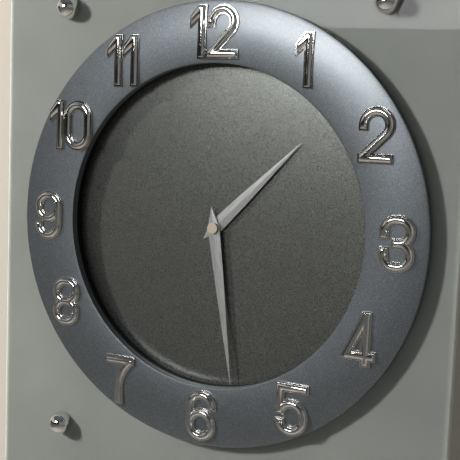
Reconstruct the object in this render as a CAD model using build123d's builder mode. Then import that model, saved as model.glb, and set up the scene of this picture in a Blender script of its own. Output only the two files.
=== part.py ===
from build123d import *
from math import acos, atan2, cos, degrees, hypot, pi, radians, sin, tan
import os

os.makedirs("parts", exist_ok=True)

# Quartz wall clock on a glass panel.
# The hands turn about the Y axis. The wall is the plane y = 0 and the clock faces -Y.
# "Back" and "front" values below are distances forward from the wall.

# Sizes
# Panel and its four standoffs
panel_width = 300.0
panel_height = 360.0
panel_thick = 5.0
panel_corner_radius = 4.0
panel_arris = 0.4
panel_shift_x = -2.0
panel_drop = 2.9
standoff_inset_x = 47.0
standoff_inset_z = 46.0
standoff_radius = 7.0
standoff_edge_round = 0.6
cap_skirt = 2.4
cap_thread_depth = 5.0
glass_bolt_hole_radius = 4.0
washer_thick = 0.5
washer_inset = 0.5
stud_radius = 2.0
stud_in_barrel = 8.0
thread_clearance = 0.05
bolt_clearance = 0.2
pad_thick = 1.5

# Hanger bar across the two upper standoffs
bar_end = 12.0
bar_width = 18.0
bar_thick = 1.5
keyhole_span = 120.0
keyhole_entry_radius = 4.5
keyhole_slot_radius = 2.25
keyhole_rise = 8.0
keyhole_drop = 3.0
bar_screw_head_radius = 3.8
bar_screw_head_thick = 1.2
bar_screw_length = 7.0

# Chapter ring and its adhesive tape
ring_outer_radius = 132.5
ring_width = 36.0
ring_rim_thick = 4.9
ring_crown = 1.2
ring_outer_round = 0.4
ring_inner_round = 0.3
ring_rise = 0.8
ring_tape_thick = 0.5
ring_tape_inset = 3.0
glass_hole_margin = 0.5

# Numerals
digit_width = 20.4
digit_height = 31.3
one_width = 10.9
digit_flange = 5.7
digit_stroke = 3.7
digit_flange_thick = 0.7
digit_stroke_rise = 0.3
digit_crest_rise = 0.9
digit_crest_angle = 30
digit_one_gap = 11.5
digit_pair_gap = 15.85

# Dial plate
dial_lap = 10.0
dial_thick = 1.0
dial_tape_thick = 0.5
dial_tape_width = 6.0
dial_tape_inset = 2.0
dial_hole_clearance = 0.2
gasket_radius = 8.0
gasket_thick = 0.5

# Movement case
movement_wall_gap = 1.5
case_corner_radius = 3.0
case_wall = 1.0
case_face_thick = 1.2
cover_thick = 1.0
pillar_radius = 1.8
case_screw_radius = 0.8
case_screw_head_radius = 1.5
case_screw_head_thick = 0.8
case_screw_bite = 2.5
cover_screw_inset = 2.5
bay_wall_thick = 1.0
cover_screw_above_bay = 2.1

# Mounting bushing and nut
bushing_radius = 3.5
bushing_flange_radius = 5.0
bushing_proud = 0.1
nut_across_flats = 9.0
nut_thick = 1.4
running_clearance = 0.05
end_play = 0.15
air_gap = 0.3

# Train plate
plate_thick = 1.0
plate_back_from_face = 4.3
plate_left_gap = 4.8
plate_coil_gap = 1.3
plate_board_gap = 1.7
plate_bay_gap = 1.2
plate_pillar_inset = 2.2

# Going train
arbor_radius = 0.6
pivot_radius = 0.35
pivot_length = 0.75
bearing_boss_radius = 1.3
bearing_boss_height = 0.95
wheel_thick = 0.8
pinion_overlap = 0.3
layer_step = 1.9
centre_wheel_headroom = 0.6
tooth_share = 0.44
wheel_addendum_share = 0.9
pinion_addendum_share = 0.8
dedendum_share = 1.25
pressure_angle = 20
centre_module = 0.3
third_module = 0.28
second_module = 0.25
intermediate_module = 0.22
centre_teeth = 64
third_teeth = 60
second_teeth = 48
intermediate_teeth = 40
pinion_teeth = 8
third_bearing = 134
second_bearing = 35
intermediate_bearing = -10
rotor_bearing = 30

# Motion work
motion_module = 0.4
cannon_teeth = 12
motion_teeth = 36
motion_pinion_teeth = 10
hour_teeth = 40
setting_teeth = 15
motion_bearing = 180
setting_bearing = 160
hour_pipe_radius = 2.5
minute_arbor_radius = 1.25
minute_tail_radius = 1.1
minute_tip_radius = 0.9
clutch_collar_radius = 1.7
clutch_collar_thick = 0.4
clutch_spring_radius = 3.0
clutch_spring_depth = 0.9
clutch_spring_thick = 0.2

# Setting knob
knob_radius = 4.5
knob_thick = 2.8
knob_recess = 0.3
knob_notch_radius = 0.45
knob_notches = 16
knob_well_clearance = 0.7
knob_shaft_radius = 1.5
setting_tip_radius = 1.0

# Stepping motor
magnet_radius = 2.5
magnet_thick = 1.8
rotor_gap = 0.4
stator_thick = 0.8
stator_ring_wall = 1.0
stator_back_gap = 5.6
stator_arm_width = 3.6
core_width = 3.0
core_thick = 1.6
coil_inset = 6.2
coil_length = 19.6
coil_bay_gap = 0.6
coil_flange_radius = 4.8
coil_flange_thick = 0.8
coil_winding_radius = 4.3
bobbin_wall = 0.7
bobbin_clearance = 0.1

# Circuit board
board_end_gap = 5.0
board_edge_gap = 0.3
board_height = 6.3
board_thick = 0.8
board_stake_radius = 0.8
board_stake_inset = 4.0
chip_width = 5.0
chip_height = 4.0
chip_thick = 1.4
crystal_radius = 1.0
crystal_length = 6.0
crystal_x = 9.0

# Cell and its contacts
cell_radius = 7.25
cell_length = 49.5
cell_nub_radius = 2.75
cell_nub_length = 1.0
cell_floor_gap = 0.25
cell_face_gap = 0.15
cell_back_gap = 0.15
cell_head_gap = 0.35
cell_edge_round = 0.6
contact_thick = 0.4
contact_width = 3.0
contact_spring_depth = 2.0
contact_spring_reach = 5.5
contact_boss_radius = 2.0
contact_boss_rise = 0.7

# Hands, hubs and cap
minute_angle = 170.9
hour_angle = 45.1
minute_tip_gap = 1.3
minute_tail = 12.4
minute_root_width = 7.8
minute_waist_width = 6.0
minute_waist_reach = 31.0
hour_length = 74.8
hour_tail = 9.8
hour_root_width = 8.8
hour_waist_width = 6.6
hour_waist_reach = 26.0
hand_tip_width = 0.4
hand_edge_thick = 0.25
hand_ridge_rise = 0.45
hub_flange_thick = 0.3
hour_hub_flange_radius = 3.8
hour_hub_radius = 3.0
minute_hub_flange_radius = 3.3
minute_hub_radius = 2.4
cap_collar_radius = 2.9
cap_collar_thick = 0.5
cap_radius = 3.4
cap_thick = 1.0
cap_round = 0.35

overrun = 1.0

# Stack
case_depth = case_face_thick + cell_face_gap + 2 * cell_radius + cell_back_gap
case_back = movement_wall_gap
case_front = case_back + case_depth
dial_back = case_front + gasket_thick
dial_front = dial_back + dial_thick
glass_back = dial_front + dial_tape_thick
glass_front = glass_back + panel_thick
barrel_front = glass_back - washer_thick
barrel_back = pad_thick + bar_thick
cap_back = glass_front + washer_thick
ring_back = glass_front + ring_tape_thick
ring_front = ring_back + ring_rim_thick
face_inside = case_front - case_face_thick
cover_front = case_back + cover_thick
cell_and_contacts = cell_length + cell_nub_length + contact_spring_depth + contact_boss_rise
case_inside = cell_and_contacts / 2 + contact_thick
case_size = 2 * (case_inside + case_wall)
bay_wall_base = case_inside - cell_floor_gap - 2 * cell_radius - cell_head_gap
bay_wall_top = bay_wall_base - bay_wall_thick
nut_front = dial_front + nut_thick
bushing_front = nut_front + bushing_proud
plate_back = face_inside - plate_back_from_face
plate_front = plate_back + plate_thick

# Going-train layers
arbor_back = cover_front + bearing_boss_height + end_play
arbor_front = plate_back - end_play
centre_back = plate_back - centre_wheel_headroom - wheel_thick
third_back = centre_back - layer_step
second_back = third_back - layer_step
intermediate_back = second_back - layer_step
stator_back = cover_front + stator_back_gap
stator_front = stator_back + stator_thick
core_front = stator_front + core_thick
coil_axis = stator_front + core_thick / 2

# Motion-work layers
cannon_back = plate_front + 2 * end_play + pinion_overlap / 3
cannon_front = cannon_back + wheel_thick + 2 * pinion_overlap
motion_back = cannon_back + pinion_overlap
motion_front = motion_back + wheel_thick
hour_front = face_inside - air_gap
hour_back = hour_front - wheel_thick

# Hand layers
hour_hub_back = bushing_front + air_gap - bushing_proud
hour_hand_back = hour_hub_back + hub_flange_thick
hour_hub_front = hour_hand_back + hand_edge_thick + hand_ridge_rise
minute_hub_back = hour_hub_front + air_gap - bushing_proud
minute_hand_back = minute_hub_back + hub_flange_thick
minute_hub_front = minute_hand_back + hand_edge_thick + hand_ridge_rise
collar_front = minute_hub_front + cap_collar_thick
cap_front = collar_front + cap_thick

# Places
ring_inner_radius = ring_outer_radius - ring_width
glass_hole_radius = ring_inner_radius + glass_hole_margin
dial_radius = glass_hole_radius + dial_lap
numeral_circle_radius = ring_inner_radius + ring_width / 2
minute_length = ring_inner_radius - minute_tip_gap
standoff_span_x = panel_width - 2 * standoff_inset_x
standoff_span_z = panel_height - 2 * standoff_inset_z
bar_length = standoff_span_x + 2 * bar_end
axis_spot = (0, 0)
ring_spot = (0, ring_rise)
panel_spot = (panel_shift_x, -panel_drop)
standoff_right = panel_shift_x + standoff_span_x / 2
standoff_left = panel_shift_x - standoff_span_x / 2
standoff_upper = standoff_span_z / 2 - panel_drop
standoff_lower = -standoff_span_z / 2 - panel_drop
upper_spots = [(standoff_left, standoff_upper), (standoff_right, standoff_upper)]
lower_spots = [(standoff_left, standoff_lower), (standoff_right, standoff_lower)]
standoff_spots = upper_spots + lower_spots
bar_spot = (panel_shift_x, standoff_upper)
keyhole_spots = [
    (panel_shift_x - keyhole_span / 2, standoff_upper),
    (panel_shift_x + keyhole_span / 2, standoff_upper),
]


def step(spot, bearing, distance):
    """Place at a bearing (degrees from +X towards +Z) and distance from another."""
    return (
        spot[0] + distance * cos(radians(bearing)),
        spot[1] + distance * sin(radians(bearing)),
    )


def centres(teeth_a, teeth_b, module):
    """Distance between the axes of two meshing wheels."""
    return module * (teeth_a + teeth_b) / 2


motion_distance = centres(cannon_teeth, motion_teeth, motion_module)
hour_module = 2 * motion_distance / (hour_teeth + motion_pinion_teeth)
third_distance = centres(centre_teeth, pinion_teeth, centre_module)
second_distance = centres(third_teeth, pinion_teeth, third_module)
intermediate_distance = centres(second_teeth, pinion_teeth, second_module)
rotor_distance = centres(intermediate_teeth, pinion_teeth, intermediate_module)
setting_distance = centres(motion_teeth, setting_teeth, motion_module)
third_spot = step(axis_spot, third_bearing, third_distance)
second_spot = step(third_spot, second_bearing, second_distance)
intermediate_spot = step(second_spot, intermediate_bearing, intermediate_distance)
rotor_spot = step(intermediate_spot, rotor_bearing, rotor_distance)
motion_spot = step(axis_spot, motion_bearing, motion_distance)
setting_spot = step(motion_spot, setting_bearing, setting_distance)
train_spots = [third_spot, second_spot, intermediate_spot, rotor_spot]

cover_screw_x = case_inside - cover_screw_inset
cover_screw_top = cover_screw_x
cover_screw_bottom = -bay_wall_top + cover_screw_above_bay
cover_screw_spots = [
    (-cover_screw_x, cover_screw_top),
    (cover_screw_x, cover_screw_top),
    (-cover_screw_x, cover_screw_bottom),
    (cover_screw_x, cover_screw_bottom),
]
coil_x = case_inside - coil_inset
coil_bottom = bay_wall_top - coil_bay_gap - stator_arm_width - coil_flange_thick / 2
coil_top = coil_length - coil_bottom
board_top = case_inside - board_edge_gap
board_bottom = board_top - board_height
board_width = 2 * (case_inside - board_end_gap)
plate_left = case_inside - plate_left_gap
plate_right = coil_x - coil_flange_radius - plate_coil_gap
plate_top = board_bottom - plate_board_gap
plate_bottom = bay_wall_top - plate_bay_gap
plate_screw_spots = [
    (-plate_left + plate_pillar_inset, -plate_bottom + plate_pillar_inset),
    (-plate_left + plate_pillar_inset, plate_top - plate_pillar_inset),
    (plate_right - plate_pillar_inset, -plate_bottom + plate_pillar_inset),
]
core_end = coil_flange_thick / 2 + stator_arm_width / 2
core_upper = coil_top + core_end
core_lower = -coil_bottom - core_end
core_screw_spots = [(coil_x, core_upper), (coil_x, core_lower)]
board_middle = (board_bottom + board_top) / 2
board_back = core_front - board_thick
board_stake_x = board_width / 2 - board_stake_inset
board_stakes = [(-board_stake_x, board_middle), (board_stake_x, board_middle)]
cell_z = -case_inside + cell_floor_gap + cell_radius
cell_axis = face_inside - cell_face_gap - cell_radius


# Helpers
def facing(back, spot=(0, 0)):
    """Sketch plane that faces the viewer: local x is +X and local y is +Z."""
    return Plane(origin=(spot[0], -back, spot[1]), x_dir=(1, 0, 0), z_dir=(0, -1, 0))


def lathe(spot):
    """Half-section plane through an axis: local x is radius, local y is distance from the wall."""
    return Plane(origin=(spot[0], 0, spot[1]), x_dir=(1, 0, 0), z_dir=(0, 0, -1))


def spindle(spot):
    """Axis of rotation through a spot, pointing at the viewer."""
    return Axis((spot[0], 0, spot[1]), (0, -1, 0))


def disc(spot, radius, back):
    """Round face at a spot."""
    with BuildSketch(facing(back, spot)) as sketch:
        Circle(radius)
    return sketch.sketch


def rod(spot, radius, back, front, mode=Mode.ADD):
    """Round bar, or round hole, between two distances from the wall."""
    extrude(disc(spot, radius, back), amount=front - back, mode=mode)


def bore(spot, radius, back, front):
    """Hole that runs clear of both faces."""
    rod(spot, radius, back - overrun, front + overrun, Mode.SUBTRACT)


def slab(left, right, bottom, top, back, front, mode=Mode.ADD):
    """Rectangular block between two distances from the wall."""
    with BuildSketch(facing(back, ((left + right) / 2, (bottom + top) / 2))) as sketch:
        Rectangle(right - left, top - bottom)
    extrude(sketch.sketch, amount=front - back, mode=mode)


def tooth_flanks(teeth, module, addendum_share):
    """Radius and half angle at the root, pitch, middle and tip of one tooth."""
    pitch = module * teeth / 2
    base = pitch * cos(radians(pressure_angle))
    tip = pitch + addendum_share * module
    root = pitch - dedendum_share * module
    swell = tan(radians(pressure_angle)) - radians(pressure_angle)

    def half_angle(radius):
        lean = acos(min(1, base / radius))
        return pi * tooth_share / teeth + swell - (tan(lean) - lean)

    return [(r, half_angle(r)) for r in (root, pitch, (pitch + tip) / 2, tip)]


def gear_outline(spot, teeth, module, addendum_share, phase, back):
    """Toothed outline whose first tooth points along the phase angle."""
    flanks = tooth_flanks(teeth, module, addendum_share)
    points = []
    for tooth in range(teeth):
        middle = radians(phase) + 2 * pi * tooth / teeth
        for radius, half in flanks:
            points.append((radius * cos(middle - half), radius * sin(middle - half)))
        for radius, half in reversed(flanks):
            points.append((radius * cos(middle + half), radius * sin(middle + half)))
    with BuildSketch(facing(back, spot)) as sketch:
        with BuildLine():
            Polyline(*points, close=True)
        make_face()
    return sketch.sketch


def gear(spot, teeth, module, addendum_share, phase, back, front):
    """Toothed solid between two distances from the wall."""
    extrude(gear_outline(spot, teeth, module, addendum_share, phase, back), amount=front - back)


def mating_phase(spot_a, teeth_a, phase_a, spot_b, teeth_b):
    """Phase that puts a gap of wheel b on a tooth of wheel a at their contact."""
    line = degrees(atan2(spot_b[1] - spot_a[1], spot_b[0] - spot_a[0]))
    pitches = (line - phase_a) * teeth_a / 360
    return line + 180 - 360 / teeth_b * (0.5 - pitches)


def train_arbor(spot):
    """Steel arbor with a pivot at each end, between the cover and the train plate."""
    rod(spot, arbor_radius, arbor_back, arbor_front)
    rod(spot, pivot_radius, arbor_back - pivot_length, arbor_back)
    rod(spot, pivot_radius, arbor_front, arbor_front + pivot_length)


# Glass panel
with BuildPart() as glass_panel:
    with BuildSketch(facing(glass_back, panel_spot)):
        RectangleRounded(panel_width, panel_height, panel_corner_radius)
    extrude(amount=panel_thick)
    chamfer(glass_panel.edges().group_by(Axis.Y)[0], length=panel_arris)
    chamfer(glass_panel.edges().group_by(Axis.Y)[-1], length=panel_arris)
    bore(ring_spot, glass_hole_radius, glass_back, glass_front)
    for spot in standoff_spots:
        bore(spot, glass_bolt_hole_radius, glass_back, glass_front)
glass_panel.part.label = "glass_panel"
export_step(glass_panel.part, "parts/glass_panel.step")


# Standoffs
with BuildPart() as dome_caps:
    for spot in standoff_spots:
        with BuildSketch(lathe(spot)):
            with BuildLine():
                Line((0, cap_back), (standoff_radius, cap_back))
                Line((standoff_radius, cap_back), (standoff_radius, cap_back + cap_skirt))
                CenterArc((0, cap_back + cap_skirt), standoff_radius, 0, 90)
                Line((0, cap_back + cap_skirt + standoff_radius), (0, cap_back))
            make_face()
        revolve(axis=spindle(spot))
        rod(spot, stud_radius + thread_clearance, cap_back, cap_back + cap_thread_depth, Mode.SUBTRACT)
dome_caps.part.label = "dome_caps"
export_step(dome_caps.part, "parts/dome_caps.step")

with BuildPart() as front_washers:
    for spot in standoff_spots:
        rod(spot, standoff_radius - washer_inset, glass_front, cap_back)
        bore(spot, stud_radius + bolt_clearance, glass_front, cap_back)
front_washers.part.label = "front_washers"
export_step(front_washers.part, "parts/front_washers.step")

with BuildPart() as rear_washers:
    for spot in standoff_spots:
        rod(spot, standoff_radius - washer_inset, barrel_front, glass_back)
        bore(spot, stud_radius + bolt_clearance, barrel_front, glass_back)
rear_washers.part.label = "rear_washers"
export_step(rear_washers.part, "parts/rear_washers.step")

with BuildPart() as standoff_barrels:
    for spot in standoff_spots:
        rod(spot, standoff_radius, barrel_back, barrel_front)
    chamfer(standoff_barrels.edges().filter_by(GeomType.CIRCLE), length=standoff_edge_round)
    for spot in standoff_spots:
        bore(spot, stud_radius + thread_clearance, barrel_back, barrel_front)
standoff_barrels.part.label = "standoff_barrels"
export_step(standoff_barrels.part, "parts/standoff_barrels.step")

with BuildPart() as standoff_studs:
    for spot in standoff_spots:
        rod(
            spot,
            stud_radius,
            barrel_front - stud_in_barrel,
            cap_back + cap_thread_depth - bolt_clearance,
        )
standoff_studs.part.label = "standoff_studs"
export_step(standoff_studs.part, "parts/standoff_studs.step")

with BuildPart() as wall_pads:
    for spot in upper_spots:
        rod(spot, standoff_radius, 0, pad_thick)
        bore(spot, bar_screw_head_radius + bolt_clearance, 0, pad_thick)
    for spot in lower_spots:
        rod(spot, standoff_radius, 0, barrel_back)
wall_pads.part.label = "wall_pads"
export_step(wall_pads.part, "parts/wall_pads.step")


# Hanger bar
with BuildPart() as hanger_bar:
    with BuildSketch(facing(pad_thick, bar_spot)):
        SlotOverall(bar_length, bar_width)
    extrude(amount=bar_thick)
    for spot in upper_spots:
        bore(spot, stud_radius + bolt_clearance, pad_thick, barrel_back)
    for spot in keyhole_spots:
        entry = (spot[0], spot[1] - keyhole_drop)
        bore(entry, keyhole_entry_radius, pad_thick, barrel_back)
        bore((entry[0], entry[1] + keyhole_rise), keyhole_slot_radius, pad_thick, barrel_back)
        slab(
            entry[0] - keyhole_slot_radius,
            entry[0] + keyhole_slot_radius,
            entry[1],
            entry[1] + keyhole_rise,
            pad_thick - overrun,
            barrel_back + overrun,
            Mode.SUBTRACT,
        )
hanger_bar.part.label = "hanger_bar"
export_step(hanger_bar.part, "parts/hanger_bar.step")

with BuildPart() as bar_screws:
    for spot in upper_spots:
        rod(spot, bar_screw_head_radius, pad_thick - bar_screw_head_thick, pad_thick)
        rod(spot, stud_radius, pad_thick, pad_thick + bar_screw_length)
bar_screws.part.label = "bar_screws"
export_step(bar_screws.part, "parts/bar_screws.step")


# Chapter ring
def ring_section():
    """Half-section of the ring, crowned across its face."""
    with BuildSketch(lathe(ring_spot)) as sketch:
        with BuildLine():
            Line((ring_inner_radius, ring_front), (ring_inner_radius, ring_back))
            Line((ring_inner_radius, ring_back), (ring_outer_radius, ring_back))
            Line((ring_outer_radius, ring_back), (ring_outer_radius, ring_front))
            ThreePointArc(
                (ring_outer_radius, ring_front),
                ((ring_inner_radius + ring_outer_radius) / 2, ring_front + ring_crown),
                (ring_inner_radius, ring_front),
            )
        make_face()
    return sketch.sketch


with BuildPart() as chapter_ring:
    revolve(ring_section(), axis=spindle(ring_spot))
    rims = chapter_ring.edges().filter_by(lambda edge: edge.is_closed).sort_by(Axis.Y)
    front_rims = rims[:2].sort_by(SortBy.LENGTH)
    fillet(front_rims[1], radius=min(ring_outer_round, ring_rim_thick / 2))
    fillet(front_rims[0], radius=min(ring_inner_round, ring_rim_thick / 2))
chapter_ring.part.label = "chapter_ring"
export_step(chapter_ring.part, "parts/chapter_ring.step")

with BuildPart() as ring_tape:
    rod(ring_spot, ring_outer_radius - ring_tape_inset, glass_front, ring_back)
    bore(ring_spot, ring_inner_radius + ring_tape_inset, glass_front, ring_back)
ring_tape.part.label = "ring_tape"
export_step(ring_tape.part, "parts/ring_tape.step")


# Numerals
half_width = (digit_width - digit_flange) / 2
half_height = (digit_height - digit_flange) / 2


def clip_digit(width, left, right):
    """Square the ends of a digit on its outer box."""
    box_height = digit_height - digit_flange + width
    trim = (digit_flange - width) / 2
    with Locations(((left + right) / 2, 0)):
        Rectangle(right - left - 2 * trim, box_height, mode=Mode.INTERSECT)


def stroke(width, *points):
    """Straight stroke of a digit along its centre line."""
    with BuildSketch() as sketch:
        with BuildLine():
            Polyline(*points)
        trace(line_width=width)
    return sketch.sketch


def bowl(width, spread, tall, centre):
    """Closed bowl of a digit: spread and tall are half sizes of its centre line."""
    turn = 90 if tall > spread else 0
    short = min(spread, tall)
    long = max(spread, tall)
    with BuildSketch() as sketch:
        with Locations(centre):
            if long > short:
                SlotCenterToCenter(2 * (long - short), 2 * short + width, rotation=turn)
                SlotCenterToCenter(
                    2 * (long - short), 2 * short - width, rotation=turn, mode=Mode.SUBTRACT
                )
            else:
                Circle(short + width / 2)
                Circle(short - width / 2, mode=Mode.SUBTRACT)
    return sketch.sketch


def notch(width, top, bottom):
    """Opening at the left of a bowl, wider for the narrow crest than for the flange."""
    trim = (digit_flange - width) / 2
    with Locations((-digit_width / 2, (top + bottom) / 2)):
        Rectangle(digit_width, top - bottom + 2 * trim, mode=Mode.SUBTRACT)


def draw_one(plane, width):
    """Upright with a flag at its top left."""
    right = one_width / 2
    top = digit_height / 2
    stem_left = right - digit_flange
    flag_drop_share = 0.21
    flag_end_share = 0.45
    flag_root_share = 0.3
    trim = (digit_flange - width) / 2
    with BuildSketch(plane) as sketch:
        with BuildLine():
            Polyline(
                (right, -top),
                (right, top),
                (stem_left, top),
                (-right, top - flag_drop_share * digit_height),
                (-right, top - flag_end_share * digit_height),
                (stem_left, top - flag_root_share * digit_height),
                (stem_left, -top),
                close=True,
            )
        make_face()
        if trim > 0:
            offset(amount=-trim, kind=Kind.INTERSECTION)
    return sketch.sketch


def draw_two(plane, width):
    """Hook, diagonal and base bar."""
    leg_share = 0.11
    trim = (digit_flange - width) / 2
    crown = half_height - half_width
    foot_x = -half_width - digit_flange
    with BuildSketch(plane) as sketch:
        with BuildLine():
            Line((-half_width, crown - leg_share * digit_height + trim), (-half_width, crown))
            hook = CenterArc((0, crown), half_width, 180, -225)
            end = hook @ 1
            Line(end, (foot_x, end.Y + foot_x - end.X))
        trace(line_width=width)
        add(stroke(width, (-digit_width, -half_height), (digit_width, -half_height)))
        clip_digit(width, -digit_width / 2, digit_width / 2)
    return sketch.sketch


def draw_three(plane, width):
    """Two hooks open at the left that share a short middle bar."""
    radius = half_height / 2
    turn_x = half_width - radius
    bar_share = 0.16
    upper_share = 0.06
    lower_share = 0.065
    trim = (digit_flange - width) / 2
    bar_left = -bar_share * digit_width + trim
    with BuildSketch(plane) as sketch:
        for side, gap_share in ((1, upper_share), (-1, lower_share)):
            with BuildLine():
                leg_end = side * (gap_share * digit_height + trim)
                Line((-half_width, leg_end), (-half_width, side * radius))
                CenterArc((-turn_x, side * radius), radius, 180, -side * 90)
                Line((-turn_x, side * half_height), (turn_x, side * half_height))
                CenterArc((turn_x, side * radius), radius, side * 90, -side * 180)
                Line((turn_x, 0), (bar_left, 0))
            trace(line_width=width)
    return sketch.sketch


def draw_four(plane, width):
    """Upright, cross bar and diagonal."""
    stem_share = 0.21
    bar_share = 0.305
    elbow_share = 0.33
    apex_share = 0.255
    stem_x = stem_share * digit_width
    bar_z = -bar_share * digit_height
    elbow = (-elbow_share * digit_width, bar_z)
    apex = (apex_share * digit_width, half_height + digit_flange / 2)
    with BuildSketch(plane) as sketch:
        add(stroke(width, (stem_x, bar_z), elbow, apex))
        add(stroke(width, (stem_x, -digit_height), (stem_x, digit_height)))
        clip_digit(width, -digit_width / 2, stem_x + digit_flange / 2)
        add(stroke(width, (stem_x, bar_z), (digit_width / 2 - (digit_flange - width) / 2, bar_z)))
    return sketch.sketch


def draw_five(plane, width):
    """Top bar, short upright and a bowl open at the left."""
    bowl_tall_share = 0.26
    gap_share = 0.07
    tall = bowl_tall_share * digit_height
    middle = tall - half_height
    half_gap = gap_share * digit_height / 2
    with BuildSketch(plane) as sketch:
        add(bowl(width, half_width, tall, (0, middle)))
        add(stroke(width, (digit_width, half_height), (-half_width, half_height), (-half_width, middle)))
        notch(width, middle + half_gap, middle - half_gap)
        clip_digit(width, -digit_width / 2, digit_width / 2)
    return sketch.sketch


def draw_six(plane, width):
    """Round bowl with a hooked upright on its left."""
    leg_share = 0.05
    trim = (digit_flange - width) / 2
    centre = half_height - half_width
    with BuildSketch(plane) as sketch:
        with BuildLine():
            Line((-half_width, -centre), (-half_width, centre))
            CenterArc((0, centre), half_width, 180, -180)
            Line((half_width, centre), (half_width, centre - leg_share * digit_height + trim))
        trace(line_width=width)
        add(bowl(width, half_width, half_width, (0, -centre)))
        clip_digit(width, -digit_width / 2, digit_width / 2)
    return sketch.sketch


def draw_seven(plane, width):
    """Top bar and a stem that curves down to upright."""
    stem_share = 0.025
    shoulder_share = 0.39
    straight_share = 0.15
    stem_x = -stem_share * digit_width
    shoulder = (shoulder_share * digit_width, half_height)
    straight_z = -straight_share * digit_height
    with BuildSketch(plane) as sketch:
        with BuildLine():
            Line((stem_x, -digit_height), (stem_x, straight_z))
            TangentArc((stem_x, straight_z), shoulder, tangent=(0, 1))
        trace(line_width=width)
        add(stroke(width, (-digit_width, half_height), (digit_width, half_height)))
        clip_digit(width, -digit_width / 2, digit_width / 2)
    return sketch.sketch


def draw_eight(plane, width):
    """Two closed bowls."""
    tall = half_height / 2
    with BuildSketch(plane) as sketch:
        add(bowl(width, half_width, tall, (0, tall)))
        add(bowl(width, half_width, tall, (0, -tall)))
    return sketch.sketch


def draw_nine(plane, width):
    """The six turned upside down."""
    return draw_six(plane * Rot(0, 0, 180), width)


def draw_zero(plane, width):
    """One tall closed bowl."""
    with BuildSketch(plane) as sketch:
        add(bowl(width, half_width, half_height, (0, 0)))
    return sketch.sketch


def raised_digit(draw, spot):
    """Flange, stroke and bevelled crest of one digit standing on the ring."""
    flange_front = ring_front + ring_crown + digit_flange_thick
    crest_back = flange_front + digit_stroke_rise
    extrude(draw(facing(ring_front, spot), digit_flange), amount=flange_front - ring_front)
    extrude(draw(facing(flange_front, spot), digit_stroke), amount=digit_stroke_rise)
    extrude(
        draw(facing(crest_back, spot), digit_stroke),
        amount=digit_crest_rise,
        taper=digit_crest_angle,
    )


def numeral_spot(hour, nudge_right_share, nudge_up_share):
    """Place of a numeral on its circle, with the small nudge of hand fixing."""
    x, z = step(ring_spot, 90 - 30 * hour, numeral_circle_radius)
    return (x + nudge_right_share * digit_width, z + nudge_up_share * digit_width)


def seat_on_ring():
    """Shape the back of a numeral to the crown of the ring."""
    revolve(ring_section(), axis=spindle(ring_spot), mode=Mode.SUBTRACT)


with BuildPart() as numeral_01:
    raised_digit(draw_one, numeral_spot(1, -0.03, -0.045))
    seat_on_ring()
numeral_01.part.label = "numeral_01"
export_step(numeral_01.part, "parts/numeral_01.step")


with BuildPart() as numeral_02:
    raised_digit(draw_two, numeral_spot(2, 0.06, 0.06))
    seat_on_ring()
numeral_02.part.label = "numeral_02"
export_step(numeral_02.part, "parts/numeral_02.step")


with BuildPart() as numeral_03:
    raised_digit(draw_three, numeral_spot(3, 0.025, 0.035))
    seat_on_ring()
numeral_03.part.label = "numeral_03"
export_step(numeral_03.part, "parts/numeral_03.step")


with BuildPart() as numeral_04:
    raised_digit(draw_four, numeral_spot(4, -0.13, 0.165))
    seat_on_ring()
numeral_04.part.label = "numeral_04"
export_step(numeral_04.part, "parts/numeral_04.step")


with BuildPart() as numeral_05:
    raised_digit(draw_five, numeral_spot(5, 0.07, -0.07))
    seat_on_ring()
numeral_05.part.label = "numeral_05"
export_step(numeral_05.part, "parts/numeral_05.step")


with BuildPart() as numeral_06:
    raised_digit(draw_six, numeral_spot(6, 0.02, 0.03))
    seat_on_ring()
numeral_06.part.label = "numeral_06"
export_step(numeral_06.part, "parts/numeral_06.step")


with BuildPart() as numeral_07:
    raised_digit(draw_seven, numeral_spot(7, -0.005, -0.07))
    seat_on_ring()
numeral_07.part.label = "numeral_07"
export_step(numeral_07.part, "parts/numeral_07.step")


with BuildPart() as numeral_08:
    raised_digit(draw_eight, numeral_spot(8, 0, 0.1))
    seat_on_ring()
numeral_08.part.label = "numeral_08"
export_step(numeral_08.part, "parts/numeral_08.step")


with BuildPart() as numeral_09:
    raised_digit(draw_nine, numeral_spot(9, 0.02, -0.04))
    seat_on_ring()
numeral_09.part.label = "numeral_09"
export_step(numeral_09.part, "parts/numeral_09.step")


with BuildPart() as numeral_10:
    x, z = numeral_spot(10, -0.47, -0.015)
    raised_digit(draw_one, (x, z))
    raised_digit(draw_zero, (x + digit_pair_gap, z))
    seat_on_ring()
numeral_10.part.label = "numeral_10"
export_step(numeral_10.part, "parts/numeral_10.step")

with BuildPart() as numeral_11:
    x, z = numeral_spot(11, -0.47, -0.09)
    raised_digit(draw_one, (x, z))
    raised_digit(draw_one, (x + digit_one_gap, z))
    seat_on_ring()
numeral_11.part.label = "numeral_11"
export_step(numeral_11.part, "parts/numeral_11.step")

with BuildPart() as numeral_12:
    x, z = numeral_spot(12, -0.5, -0.015)
    raised_digit(draw_one, (x, z))
    raised_digit(draw_two, (x + digit_pair_gap, z))
    seat_on_ring()
numeral_12.part.label = "numeral_12"
export_step(numeral_12.part, "parts/numeral_12.step")


# Dial
with BuildPart() as dial_disc:
    rod(ring_spot, dial_radius, dial_back, dial_front)
    bore(axis_spot, bushing_radius + dial_hole_clearance, dial_back, dial_front)
dial_disc.part.label = "dial_disc"
export_step(dial_disc.part, "parts/dial_disc.step")

with BuildPart() as dial_tape:
    rod(ring_spot, dial_radius - dial_tape_inset, dial_front, glass_back)
    bore(ring_spot, dial_radius - dial_tape_inset - dial_tape_width, dial_front, glass_back)
dial_tape.part.label = "dial_tape"
export_step(dial_tape.part, "parts/dial_tape.step")

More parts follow.
